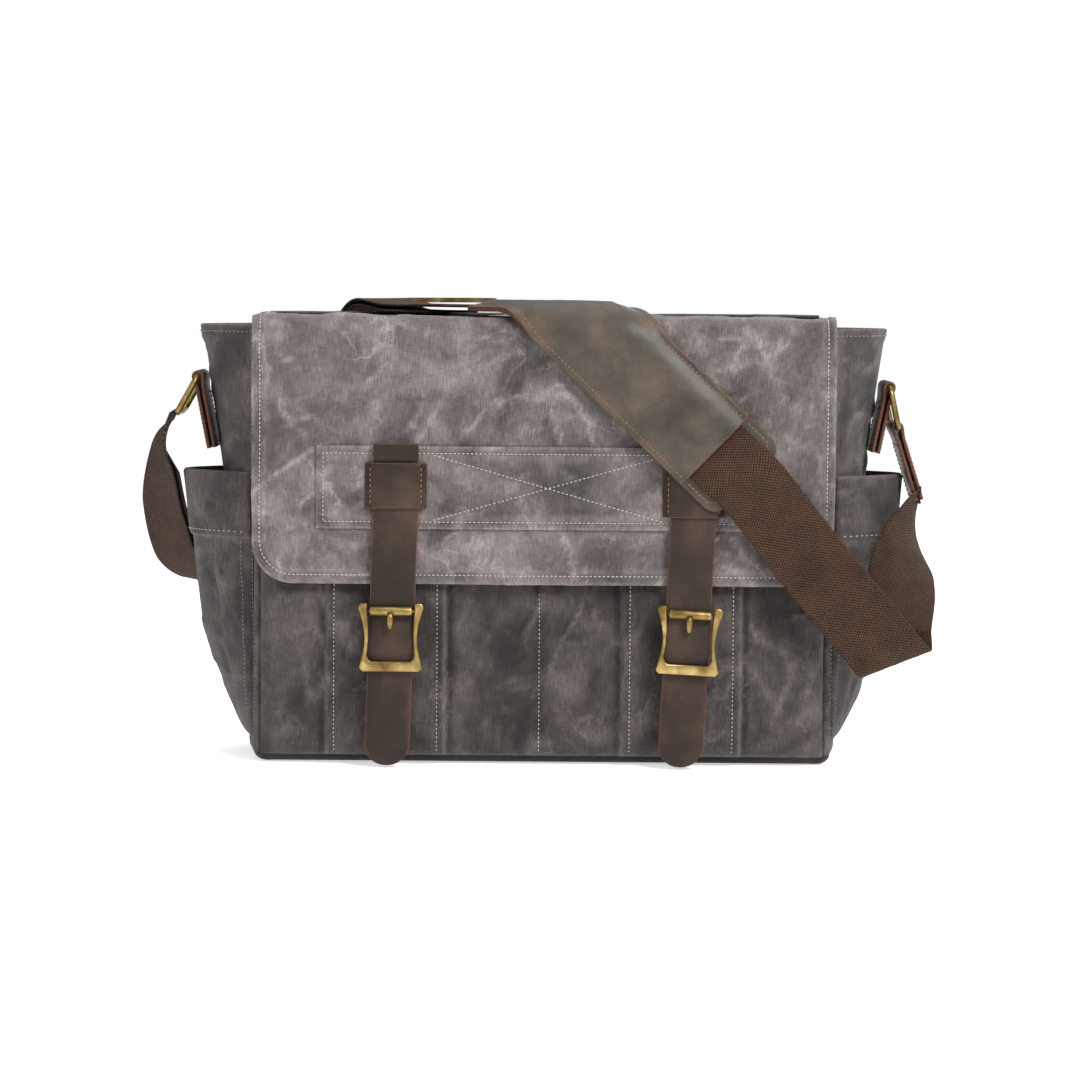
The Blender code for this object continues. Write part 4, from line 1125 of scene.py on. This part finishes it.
def build_strap(name):
    """The sewn end through the keeper and the hanging part through the buckle."""
    centre, z_low, z_high = keeper_place(name)
    back, face = strap_back_face(name)
    pivot_z = z_low - KEEPER_DOWN
    anchor_high = node_box(name + "_strap_anchor")[1].z
    buckle_low, buckle_high = node_box(name + "_buckle_frame")
    buckle_middle = (buckle_low.z + buckle_high.z) / 2
    lean = STRAP_LEAN[name]

    def half_at(z):
        above = z - TIP_FLOOR
        if above >= STRAP_HALF:
            return STRAP_HALF
        return 1.0 + (STRAP_HALF - 1.0) * math.sqrt(max(1 - (1 - above / STRAP_HALF) ** 2, 0.0))

    def surface(share, z, height):
        middle = centre + lean * max(pivot_z - z, 0.0)
        window = bump(z - buckle_middle + 1.0, 11.0) * 2.6
        dips = -0.5 * bump(z - buckle_high.z + 4.0, 5.0) - 0.5 * bump(z - buckle_low.z - 4.0, 5.0)
        tail = 1.6 * ease((buckle_low.z - z) / 50.0)
        dome = 0.5 * (1 - share * share)
        fold = 1.5 * bump(z - anchor_high, 6.0)
        return (middle + share * half_at(z), -FLAP_FRONT - height - window - dips - tail - dome - fold, z)

    shares = [-1.0, -0.965, -0.9, -0.7, -0.4, 0.0, 0.4, 0.7, 0.9, 0.965, 1.0]
    tip = [TIP_FLOOR + STRAP_HALF * (1 - math.cos(angle)) for angle in steps(0.0, math.pi / 2, 12)]
    zs = tip + steps(TIP_FLOOR + STRAP_HALF, anchor_high, 62)[1:]

    def top(share, z):
        edge = min((1 - abs(share)) * half_at(z), 99.0)
        return face - 0.1 - 0.45 * bump(edge, 0.8)

    strap = sheet(name + "_strap_leather", surface, shares, zs, back + 0.1, top, [LEATHER, RAW_EDGE],
                  (STRAP_HALF, 1.0), rim=1, under=1, raw=(1, 1))
    settle(strap, None, (name + "_closure_strap", name + "_strap_anchor"))
    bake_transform(strap)

    fold_z = anchor_high - 11.0

    def fold_surface(share, z, height):
        return (centre + share * STRAP_HALF, -FLAP_FRONT - face - 1.6 - height, z)

    turned = sheet(name + "_strap_fold", fold_surface, shares, lines(fold_z, anchor_high - 0.6, 3.0, (0.4, 1.0)),
                   -0.6, 1.5, [LEATHER, RAW_EDGE], (STRAP_HALF, 1.0), rim=1)
    if name == "right":
        bpy.data.objects.remove(turned)
    else:
        settle(round_edges(turned, 0.5), "flap")


# ================================================================ brass
def refine(node, width):
    """Keep a CAD node's shape and give it the brass."""
    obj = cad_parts[node]
    obj.data.materials.clear()
    obj.data.materials.append(BRASS)
    return obj


def buckle_outline(half_x, half_z):
    """The frame's outer outline: wide at the top, waisted, a little narrower below."""
    points = []
    for z in steps(half_z, -half_z, 22):
        share = (half_z - z) / (2 * half_z)
        waist = 4.6 * math.sin(math.pi * clamp(share * 1.04)) ** 1.1
        x = half_x - waist - 1.6 * share
        corner = min(half_z - z, z + half_z)
        x -= 2.6 * (1 - math.sqrt(1 - (1 - clamp(corner / 3.0)) ** 2))
        points.append((x, z))
    return points


def build_buckle(name):
    """A cast frame that is round in section, in place of the plain CAD one."""
    low, high = node_box(name + "_buckle_frame")
    place = (low + high) / 2
    tilt = {"left": 0.0, "right": math.radians(3.0)}[name]
    half_x, half_z = 23.5, 23.5
    right = buckle_outline(half_x, half_z)
    window_x, window_low, window_high = 16.3, -half_z + 7.0, half_z
    pin_z = half_z - 5.5
    outer = [(x, z) for x, z in right] + [(-x, z) for x, z in reversed(right)]
    inner = [(window_x, window_high), *[(window_x - 0.9 * math.sin(math.pi * clamp(t)), z)
                                        for t, z in zip(steps(0, 1, 8), steps(window_high - 4, window_low + 4, 8))],
             (window_x - 1.2, window_low + 1.2), (window_x - 3.0, window_low),
             (-window_x + 3.0, window_low), (-window_x + 1.2, window_low + 1.2),
             *[(-window_x + 0.9 * math.sin(math.pi * clamp(t)), z)
               for t, z in zip(steps(0, 1, 8), steps(window_low + 4, window_high - 4, 8))],
             (-window_x, window_high)]
    builder = bmesh.new()
    depth = 2.2

    def spin(a, b, y):
        return (place.x + a * math.cos(tilt) + b * math.sin(tilt), place.y + y,
                place.z - a * math.sin(tilt) + b * math.cos(tilt))

    outline = outer + inner[::-1]
    ends = [[builder.verts.new(spin(a, b, y)) for a, b in outline] for y in (-depth, depth)]
    for end in ends:
        builder.faces.new(end)
    count = len(outline)
    for i in range(count):
        n = (i + 1) % count
        builder.faces.new((ends[0][i], ends[0][n], ends[1][n], ends[1][i]))
    obj = new_object(name + "_buckle_brass", builder, [BRASS])
    round_edges(obj, 1.15, 4, 50.0)
    settle(obj, name + "_strap", (name + "_buckle_frame",))
    pin = tube(name + "_pin_brass", [spin(x, pin_z, 0.0) for x in steps(-window_x - 0.4, window_x + 0.4, 2)], 1.3,
               [BRASS], sides=16)
    settle(pin, name + "_strap", (name + "_buckle_pin",))
    sleeve_path = [spin(x, pin_z, 0.0) for x in (-14.6, -14.2, -13.6, 0.0, 13.6, 14.2, 14.6)]
    sleeve = lathe(name + "_sleeve_brass", sleeve_path, (2.6, 3.2, 3.4, 3.4, 3.4, 3.2, 2.6))
    prong_path = [spin(-0.4, pin_z - 1.0, -3.0), spin(-0.4, pin_z - 4.0, -4.2), spin(-0.4, pin_z - 8.0, -4.2),
                  spin(-0.4, pin_z - 11.0, -3.6), spin(-0.4, pin_z - 12.6, -3.0)]
    prong = lathe(name + "_prong_brass", prong_path, (2.2, 2.3, 2.1, 1.8, 1.0))
    settle(sleeve, name + "_tongue", (name + "_buckle_tongue",))
    settle(prong, name + "_tongue")


def lathe(name, path, radii, sides=18):
    """A round bar whose radius changes along a path."""
    builder = bmesh.new()
    points = [Vector(point) for point in path]
    rings = []
    last = len(points) - 1
    for i, (point, radius) in enumerate(zip(points, radii)):
        along = (points[min(i + 1, last)] - points[max(i - 1, 0)]).normalized()
        side = along.cross(Vector((0.0, 1.0, 0.0)))
        if side.length < 0.1:
            side = Vector((1.0, 0.0, 0.0))
        side.normalize()
        up = side.cross(along)
        ring = []
        for k in range(sides):
            turn = 2 * math.pi * k / sides
            ring.append(builder.verts.new(point + radius * (side * math.cos(turn) + up * math.sin(turn))))
        rings.append(ring)
    for here, there in zip(rings, rings[1:]):
        for k in range(sides):
            n = (k + 1) % sides
            builder.faces.new((here[k], here[n], there[n], there[k]))
    builder.faces.new(rings[0])
    builder.faces.new(rings[-1])
    return new_object(name, builder, [BRASS])


RING_INNER_HALF = 26.0
RING_ROD = 2.0
RING_DROP = 29.0
RING_SWING = {"left": math.radians(29), "right": math.radians(12)}
RING_PIVOT = {"left": (-242.5, 266.0), "right": (242.0, 262.0)}


def ring_bar(name):
    side = SIDES[name]
    pivot_x, pivot_z = RING_PIVOT[name]
    swing = RING_SWING[name]
    return Vector((pivot_x + side * math.sin(swing) * RING_DROP, 0.0, pivot_z - math.cos(swing) * RING_DROP))


def build_ring(name):
    side = SIDES[name]
    pivot_x, pivot_z = RING_PIVOT[name]
    swing = RING_SWING[name]
    half_y, half_drop, corner = RING_INNER_HALF + RING_ROD, RING_DROP / 2, 6.0
    path = []
    for sign_a, sign_b, start in ((1, 1, 0), (-1, 1, 90), (-1, -1, 180), (1, -1, 270)):
        for angle in steps(math.radians(start), math.radians(start + 90), 8):
            a = sign_a * (half_y - corner) + corner * math.cos(angle)
            drop = half_drop - (sign_b * (half_drop - corner) + corner * math.sin(angle))
            path.append((pivot_x + side * math.sin(swing) * drop, a, pivot_z - math.cos(swing) * drop))
    ring = tube(name + "_ring_brass", path, RING_ROD + 0.1, [BRASS], closed=True)
    settle(ring, name + "_ring", (name + "_ring",))


def leather_loop(name, bar, end, half_width, body, nodes, strip_offset=0.0):
    """The path of a folded leather tab: up from its sewn end, round a bar and back down."""
    to_end = (end - bar).normalized()
    side = Vector((to_end.z, 0.0, -to_end.x))
    radius = 3.4
    path = []
    for t in steps(0.0, 1.0, 10):
        path.append(end.lerp(bar + to_end * 4.6, t) + side * (1.5 + (radius - 1.5) * ease(t * 6 - 5)))
    for angle in steps(-0.5 * math.pi + 0.9, 1.5 * math.pi - 0.9, 12)[::-1]:
        path.append(bar + radius * (side * -math.cos(angle + math.pi / 2) * -1.0 + to_end * -math.sin(angle - math.pi / 2) * -1.0))
    for t in steps(1.0, 0.0, 10):
        path.append(end.lerp(bar + to_end * 4.6, t) - side * (1.5 + (radius - 1.5) * ease(t * 6 - 5)))
    return path


def build_tab(name, bar, end, half_width, body, nodes):
    """Two plies of leather from a folded loop, with stitches across its sewn part."""
    to_end = (end - bar).normalized()
    length = (end - bar).length
    side = Vector((to_end.z, 0.0, -to_end.x))

    def ply(sign):
        def surface(y, s, height):
            # s runs from the loop's far side, over the bar, to the sewn end
            if s < 0:
                turn = s / 3.4
                centre = bar
                out = side * sign * math.cos(turn) + to_end * math.sin(turn)
                return tuple(centre + out * (3.2 + height) + Vector((0.0, y, 0.0)))
            spread = 2.0 + (3.2 - 2.0) * (1 - ease(s / 9.0))
            return tuple(bar + to_end * s + side * sign * (spread + height) + Vector((0.0, y, 0.0)))
        return surface

    ys = lines(-half_width, half_width, 5.0, (0.5, 1.5))
    quarter = 3.4 * math.pi / 2
    for sign, label in ((1, "outer"), (-1, "inner")):
        ss = steps(-quarter, 0.0, 8) + lines(0.0, length, 3.0, (0.5,))[1:]
        reach = sorted(set(round(s, 3) for s in ss))
        piece = sheet(name + "_" + label + "_ply", ply(sign), ys, reach, -1.1, 1.1, [LEATHER, RAW_EDGE], rim=1)
        settle(piece, body, nodes if sign > 0 else ())
        inset = 3.2
        rows = [[(-half_width + inset, 12.0), (-half_width + inset, length - inset), (half_width - inset, length - inset),
                 (half_width - inset, 12.0), (-half_width + inset, 12.0)]]
        settle(stitch_row(name + "_" + label + "_stitches", rows, ply(sign), RUST_THREAD, lift=1.25, pitch=3.2,
                          length=2.3), body)


def build_rings():
    for name, side in SIDES.items():
        build_ring(name)
        pivot_x, pivot_z = RING_PIVOT[name]
        bar = Vector((pivot_x, 0.0, pivot_z))
        end = Vector((side * (crease(216.0) + 3.6), 0.0, 216.0))
        build_tab(name + "_tab", bar, end, 23.0, "bag", (name + "_ring_tab",))
    end = Vector((CHAPE_END.x, 0.0, CHAPE_END.z))
    build_tab("chape", ring_bar("right"), end, 22.0, "chape", ("right_chape",))


# ================================================================ shoulder strap
WEB_HALF = 25.0
WEB_THICK = 1.6
PAD_HALF = 33.0
PAD_DIRECTION = (-0.72, 0.694)
PAD_ORIGIN_X = 27.0
PAD_LOWER = -158.0
PAD_SLOT = -125.0
PAD_UPPER = 87.0
SLIDER_AT = 126.0
RETURN_SHIFT = 4.2
RETURN_END = 36.0
WEB_SPACING = 2.0
PAD_WEB_LOW = 2.7
CHAPE_END = Vector((264.0, 0.0, 183.0))


def on_pad(along, across, height):
    x = PAD_ORIGIN_X + along * PAD_DIRECTION[0] + across * PAD_DIRECTION[1]
    u = along * PAD_DIRECTION[1] - across * PAD_DIRECTION[0]
    return flap_point(x, u, height)


def pad_lift(along):
    share = clamp((-55.0 - along) / 45.0)
    return 3.4 + 5.0 * share * share * (3 - 2 * share)


def pad_half_width(along):
    corner = 12.0
    near = min(along - PAD_LOWER, PAD_UPPER - along)
    if near >= corner:
        return PAD_HALF
    return PAD_HALF - corner + math.sqrt(max(corner ** 2 - (corner - near) ** 2, 0.0))


def pad_edge(along, across):
    return min(pad_half_width(along) - abs(across), along - PAD_LOWER, PAD_UPPER - along)


def build_pad():
    """Two leather plies: the cover is crowned over foam and ends at the slot, the backing runs on."""
    shares = [-1.0, -0.985, -0.95, -0.9, -0.84, -0.76, -0.6, -0.4, -0.2, 0.0]
    shares += [-s for s in reversed(shares[:-1])]
    rounds = [12.0 * (1 - math.cos(angle)) for angle in steps(0.0, math.pi / 2, 8)]
    alongs = [PAD_LOWER + r for r in rounds] + steps(PAD_LOWER + 12, PAD_UPPER - 12, 84)[1:]
    alongs += [PAD_UPPER - r for r in reversed(rounds)][1:]

    def shaped(along, share, height):
        return on_pad(along, share * pad_half_width(along), pad_lift(along) + height)

    backing = sheet("pad_backing_leather", shaped, alongs, shares, 0.0, 2.0, [PAD_LEATHER, RAW_EDGE],
                    (1.0, PAD_HALF), rim=1, raw=(0, 1))
    settle(backing, "flap", ("pad_backing",))
    cover_alongs = [PAD_SLOT, PAD_SLOT + 0.8] + [along for along in alongs if along > PAD_SLOT + 2.5]

    def cover_low(along, share):
        edge = pad_edge(along, share * pad_half_width(along))
        return 2.1 + 2.6 * ease((edge - 3.0) / 7.0)

    def cover_high(along, share):
        edge = pad_edge(along, share * pad_half_width(along))
        crown = 4.4 * ease((edge - 3.0) / 12.0)
        pull = -0.45 * bump(edge - 4.0, 0.9) - 0.6 * bump(edge, 0.8)
        crease_line = wrinkle(along, share * PAD_HALF, 33.0, 26.0) * 0.35
        return 4.0 + crown + pull + crease_line * ease(edge / 10.0)

    cover = sheet("pad_cover_leather", shaped, cover_alongs, shares, cover_low, cover_high,
                  [PAD_LEATHER, RAW_EDGE], (1.0, PAD_HALF), rim=1, raw=(1, 1))
    settle(cover, "flap", ("shoulder_pad",))

    def stitched(along, across, height):
        half = pad_half_width(along)
        share = clamp(across / half, -1.0, 1.0)
        top = cover_high(along, share) if along > PAD_SLOT else 2.0
        return on_pad(along, across, pad_lift(along) + top + height)

    edge = PAD_HALF - 4.0
    start, end = PAD_LOWER + 4.0, PAD_UPPER - 4.0
    corner = 8.0
    row = [(start + corner, -edge), (end - corner, -edge), (end, -edge + corner), (end, edge - corner),
           (end - corner, edge), (start + corner, edge), (start, edge - corner), (start, -edge + corner),
           (start + corner, -edge)]
    dense = []
    for a, b in zip(row, row[1:]):
        dense += [(a[0] + (b[0] - a[0]) * t, a[1] + (b[1] - a[1]) * t) for t in steps(0.0, 1.0, 120)]
    for label, keep in (("pad_stitches", lambda along, across: along > PAD_SLOT + 1.5),
                        ("pad_end_stitches", lambda along, across: along < PAD_SLOT - 1.0
                         and abs(across) > WEB_HALF - 4.0)):
        rows = []
        for sign in (-1, 1):
            kept = [point for point in dense if keep(*point) and point[1] * sign > 0]
            walk = sorted(kept, key=lambda point: math.atan2(point[1] * sign, point[0] - (start + end) / 2))
            rows.append(walk)
        settle(stitch_row(label, rows, stitched, RUST_THREAD, lift=0.1, pitch=3.2, length=2.3, radius=0.45),
               "flap")


def smooth_route(route, spacing):
    """Evenly spaced (point, width direction) pairs on a smooth curve through given ones."""
    pairs = [(Vector(point), Vector(width).normalized()) for point, width in route]
    first, last = pairs[0], pairs[-1]
    ends = [(2 * first[0] - pairs[1][0], first[1]), *pairs, (2 * last[0] - pairs[-2][0], last[1])]
    dense = []
    parts = 24
    for i in range(1, len(ends) - 2):
        window = ends[i - 1:i + 3]
        for k in range(parts):
            t = k / parts
            weights = (-t + 2 * t ** 2 - t ** 3, 2 - 5 * t ** 2 + 3 * t ** 3,
                       t + 4 * t ** 2 - 3 * t ** 3, -t ** 2 + t ** 3)
            point = sum((w / 2 * pair[0] for w, pair in zip(weights, window)), Vector())
            width = sum((w / 2 * pair[1] for w, pair in zip(weights, window)), Vector())
            dense.append((point, width.normalized()))
    dense.append(last)
    lengths = [0.0]
    for a, b in zip(dense, dense[1:]):
        lengths.append(lengths[-1] + (b[0] - a[0]).length)
    count = max(3, round(lengths[-1] / spacing))
    result = []
    i = 0
    for wanted in steps(0.0, lengths[-1], count):
        while i < len(dense) - 2 and lengths[i + 1] < wanted:
            i += 1
        share = clamp((wanted - lengths[i]) / max(lengths[i + 1] - lengths[i], 1e-9))
        result.append((dense[i][0].lerp(dense[i + 1][0], share), dense[i][1].lerp(dense[i + 1][1], share)))
    return result


def pad_side(along, height):
    centre = Vector(on_pad(along, 0.0, height))
    return (tuple(centre), tuple(Vector(on_pad(along, 1.0, height)) - centre))


FOLD_RADIUS = 5.0
FOLD_LINE = Vector((0.93, 0.0, 0.37)).normalized()
FOLD_FROM = Vector((0.64, 0.0, -0.77)).normalized()
FOLD_START = Vector((238.5, -97.0, 78.5))


def fold_marks():
    """The webbing turned back over a diagonal line, as a helix round that line."""
    down = Vector((FOLD_LINE.z, 0.0, -FOLD_LINE.x))
    back = Vector((0.0, 1.0, 0.0))
    along_share = FOLD_FROM.dot(FOLD_LINE)
    turn_share = FOLD_FROM.dot(down)
    marks = []
    for turn in steps(0.0, math.pi, 6):
        walked = FOLD_RADIUS * turn / turn_share
        place = (FOLD_START + FOLD_LINE * along_share * walked
                 + FOLD_RADIUS * (down * math.sin(turn) + back * (1 - math.cos(turn))))
        along = FOLD_LINE * along_share + turn_share * (down * math.cos(turn) + back * math.sin(turn))
        outward = down * math.sin(turn) - back * math.cos(turn)
        marks.append((tuple(place), tuple(outward.cross(along))))
    return marks


def fold_point(walked, across, height):
    """A point of the folded webbing from its flat pattern: the fold turns it round FOLD_LINE."""
    down = Vector((FOLD_LINE.z, 0.0, -FOLD_LINE.x))
    back = Vector((0.0, 1.0, 0.0))
    width = Vector((-FOLD_FROM.z, 0.0, FOLD_FROM.x))
    flat = FOLD_FROM * walked + width * across
    over = flat.dot(down)
    half_turn = math.pi * FOLD_RADIUS
    place = FOLD_START + FOLD_LINE * flat.dot(FOLD_LINE)
    if over < 0:
        return place + down * over - back * height
    if over > half_turn:
        return place - down * (over - half_turn) + back * (2 * FOLD_RADIUS + height)
    turn = over / FOLD_RADIUS
    place += FOLD_RADIUS * (down * math.sin(turn) + back * (1 - math.cos(turn)))
    return place + height * (down * math.sin(turn) - back * math.cos(turn))


FOLD_REACH = 15.0
FOLD_LENGTH = math.pi * FOLD_RADIUS / FOLD_FROM.dot(Vector((FOLD_LINE.z, 0.0, -FOLD_LINE.x)))


def fold_share(walked):
    """1 where the fold shapes the webbing, easing to 0 on the runs beyond it."""
    return ease((walked + FOLD_REACH) / 5.0) * ease((FOLD_LENGTH + FOLD_REACH - walked) / 5.0)


def front_route():
    """From the pad's slot over its lower end, out to the right, round a fold and up to the chape."""
    before = FOLD_START - FOLD_FROM * 90.0
    near = FOLD_START - FOLD_FROM * 18.0
    flat = (0.77, 0.0, 0.64)
    return [
        pad_side(PAD_SLOT - 0.3, 12.1),
        pad_side(PAD_SLOT - 16.0, 12.6),
        pad_side(PAD_SLOT - 40.0, 13.2),
        (tuple(before), flat),
        (tuple(near), flat),
        *fold_marks(),
        (tuple(fold_point(FOLD_LENGTH + 9.0, 0.0, 0.0)), (1.0, 0.0, 0.06)),
        (tuple(fold_point(FOLD_LENGTH + 18.0, 0.0, 0.0)), (1.0, 0.0, 0.06)),
        ((246.5, -66.0, 116.0), (0.99, 0.12, 0.0)),
        ((252.0, -43.0, 139.0), (0.82, 0.57, 0.0)),
        ((259.0, -20.0, 161.0), (0.40, 0.92, 0.0)),
        ((263.2, -4.0, 176.0), (0.06, 1.0, 0.0)),
        (tuple(CHAPE_END + Vector((0.0, 0.0, 1.5))), (0.0, 1.0, 0.0)),
    ]


def back_route():
    """From the pad over the flap's back edge, down behind the bag and up to the left ring."""
    bar = ring_bar("left")
    return [
        pad_side(PAD_UPPER + 0.3, 6.9),
        pad_side(SLIDER_AT, 6.9),
        pad_side(PAD_UPPER + 85.0, 7.2),
        ((-122.0, 79.0, 318.5), (0.72, 0.60, 0.0)),
        ((-136.0, 94.0, 286.0), (0.85, 0.40, -0.10)),
        ((-152.0, 99.0, 236.0), (0.95, 0.10, -0.25)),
        ((-176.0, 99.0, 180.0), (0.90, -0.10, -0.40)),
        ((-208.0, 94.0, 133.0), (0.82, -0.45, -0.32)),
        ((-238.0, 77.0, 114.0), (0.70, -0.70, -0.12)),
        ((-261.0, 52.0, 130.0), (0.66, -0.75, 0.04)),
        ((-271.0, 30.0, 168.0), (0.60, -0.80, 0.05)),
        ((-270.0, 10.0, 206.0), (0.38, -0.92, 0.0)),
        ((-266.5, 1.0, 227.0), (0.06, -1.0, 0.0)),
        ((bar.x - 4.6, 0.0, bar.z + 0.6), (0.0, -1.0, 0.0)),
    ]


def webbing_run(name, route, shift=0.0, cut=(0.0, 0.0), folded=False):
    """Flat webbing with rounded selvedges; returns the piece and its centre line."""
    pairs = smooth_route(route, WEB_SPACING)
    fold_at = 0.0
    if folded:
        nearest = min(range(len(pairs)), key=lambda i: (pairs[i][0] - FOLD_START).length)
        fold_at = sum((b[0] - a[0]).length for a, b in zip(pairs[:nearest], pairs[1:nearest + 1]))
    last = len(pairs) - 1
    first_kept = math.ceil(cut[0] / WEB_SPACING)
    last_kept = last - math.ceil(cut[1] / WEB_SPACING)
    section = [(-1.0, 0.0), (-0.985, 0.8), (-0.94, 1.15), (-0.88, 1.0), (-0.5, 1.0), (0.0, 1.0), (0.5, 1.0),
               (0.88, 1.0), (0.94, 1.15), (0.985, 0.8), (1.0, 0.0), (0.985, -0.8), (0.94, -1.15), (0.88, -1.0),
               (0.5, -1.0), (0.0, -1.0), (-0.5, -1.0), (-0.88, -1.0), (-0.94, -1.15), (-0.985, -0.8)]
    builder = bmesh.new()
    uv_layer = builder.loops.layers.uv.new("UVMap")
    places = {}
    rings = []
    centre_line = []
    walked = 0.0
    for i in range(first_kept, last_kept + 1):
        centre, width = pairs[i]
        along = (pairs[min(i + 1, last)][0] - pairs[max(i - 1, 0)][0]).normalized()
        width = (width - along * width.dot(along)).normalized()
        face = along.cross(width)
        if i > first_kept:
            walked += (centre - pairs[i - 1][0]).length
        ring = []
        share = fold_share(walked - fold_at) if folded else 0.0
        for a, b in section:
            point = centre + a * WEB_HALF * width + (shift + b * WEB_THICK / 2) * face
            if share > 0:
                point = point.lerp(fold_point(walked - fold_at, a * WEB_HALF, b * WEB_THICK / 2), share)
            vertex = builder.verts.new(point)
            places[vertex] = (a * WEB_HALF * MM, walked * MM)
            ring.append(vertex)
        rings.append(ring)
        centre_line.append((centre + shift * face) * MM)
    count = len(section)
    for here, there in zip(rings, rings[1:]):
        for k in range(count):
            n = (k + 1) % count
            builder.faces.new((here[k], here[n], there[n], there[k]))
    builder.faces.new(rings[0])
    builder.faces.new(rings[-1])
    for face in builder.faces:
        for loop in face.loops:
            loop[uv_layer].uv = places[loop.vert]
    return new_object(name, builder, [WEBBING]), centre_line


def build_webbing():
    """Three free runs of flat webbing, and the stretch inside the pad."""
    front, line = webbing_run("webbing_front", front_route(), folded=True)
    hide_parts("webbing_front_run")
    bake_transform(front)

    for name, node, shift, cut in (
            ("webbing_back", "webbing_back_run", 0.0, (0.0, 0.0)),
            ("webbing_return", "webbing_return_run", RETURN_SHIFT, (SLIDER_AT - PAD_UPPER, RETURN_END))):
        piece, line = webbing_run(name, back_route(), shift, cut)
        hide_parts(node)
        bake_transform(piece)

    def inside(along, across, height):
        return on_pad(along, across, pad_lift(along) + height)

    up = (ring_bar("right") - CHAPE_END).normalized()

    def tucked(y, s, height):
        return tuple(CHAPE_END + up * s + Vector((-up.z, 0.0, up.x)) * height + Vector((0.0, y, 0.0)))

    stub = sheet("webbing_chape_end", tucked, steps(-21.0, 21.0, 6), steps(-2.5, 14.0, 6), -0.75, 0.75, [WEBBING])
    settle(stub, "chape")

    hidden = sheet("pad_inner_webbing", inside, steps(PAD_SLOT, PAD_UPPER, 60), steps(-WEB_HALF, WEB_HALF, 8),
                   2.2, 3.2, [WEBBING])
    settle(hidden, "flap", ("pad_webbing",))


def carry_cad_nodes():
    """CAD nodes whose shape is right stay and get their material."""
    looks = {"base_board": LINING, "strap_slider": BRASS}
    for side in SIDES:
        looks[side + "_snap_stud"] = BRASS
        looks[side + "_snap_socket"] = BRASS
    for node, material in looks.items():
        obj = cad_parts[node]
        obj.data.materials.clear()
        obj.data.materials.append(material)


# ================================================================ studio
def build_studio():
    floor_mesh = bmesh.new()
    bmesh.ops.create_grid(floor_mesh, x_segments=1, y_segments=1, size=6000.0)
    white = Nodes("studio_white")
    white.shader.inputs["Base Color"].default_value = (0.93, 0.93, 0.93, 1.0)
    white.shader.inputs["Roughness"].default_value = 0.9
    white.shader.inputs["Emission Color"].default_value = (1.0, 1.0, 1.0, 1.0)
    white.shader.inputs["Emission Strength"].default_value = 0.55
    floor = new_object("floor", floor_mesh, [white.material], smooth=False)
    floor.location.z = -0.0003
    world = bpy.data.worlds.new("studio")
    bpy.context.scene.world = world
    world.use_nodes = True
    tree = world.node_tree
    soft = tree.nodes["Background"]
    soft.inputs[0].default_value = (0.96, 0.98, 1.0, 1.0)
    soft.inputs[1].default_value = 0.5
    backdrop = tree.nodes.new("ShaderNodeBackground")
    backdrop.inputs[0].default_value = (1.0, 1.0, 1.0, 1.0)
    backdrop.inputs[1].default_value = 1.0
    ray = tree.nodes.new("ShaderNodeLightPath")
    chosen = tree.nodes.new("ShaderNodeMixShader")
    tree.links.new(ray.outputs["Is Camera Ray"], chosen.inputs[0])
    tree.links.new(soft.outputs[0], chosen.inputs[1])
    tree.links.new(backdrop.outputs[0], chosen.inputs[2])
    tree.links.new(chosen.outputs[0], tree.nodes["World Output"].inputs["Surface"])
    bpy.context.scene.view_settings.view_transform = "Standard"
    for name, place, size, power in (("key", (1.3, -1.9, 2.0), 0.9, 80.0), ("fill", (-1.8, -1.8, 1.4), 1.4, 10.0),
                                     ("top", (0.1, 0.3, 2.4), 2.2, 26.0), ("back", (1.2, 2.2, 1.6), 1.4, 22.0)):
        light = bpy.data.lights.new(name, "AREA")
        light.size = size
        light.energy = power
        lamp = bpy.data.objects.new(name, light)
        bpy.context.scene.collection.objects.link(lamp)
        lamp.location = place
        lamp.rotation_euler = (Vector((0.0, 0.0, 0.15)) - Vector(place)).to_track_quat("-Z", "Y").to_euler()


def build_camera():
    """Level with the bag's top, straight in front, with a long lens."""
    place = Vector((-0.002, -2.68, 0.335))
    target = Vector((-0.002, -0.08, 0.157))
    data = bpy.data.cameras.new("camera")
    data.sensor_width = 36.0
    data.lens = 36.0 * (target - place).length / 0.742
    camera = bpy.data.objects.new("camera", data)
    bpy.context.scene.collection.objects.link(camera)
    camera.location = place
    look = (target - place).to_track_quat("-Z", "Y")
    camera.rotation_euler = look.to_euler()
    camera.rotation_euler.rotate_axis("Z", math.radians(0.45))
    bpy.context.scene.camera = camera


def main():
    build_camera()
    build_studio()
    build_webbing()
    build_body()
    build_hinge_cloth()
    build_divider()
    build_front_pocket()
    build_side_pockets()
    build_flap()
    build_band()
    for name in SIDES:
        build_keeper(name)
        build_strap(name)
        build_buckle(name)
    build_rings()
    build_pad()
    carry_cad_nodes()


main()
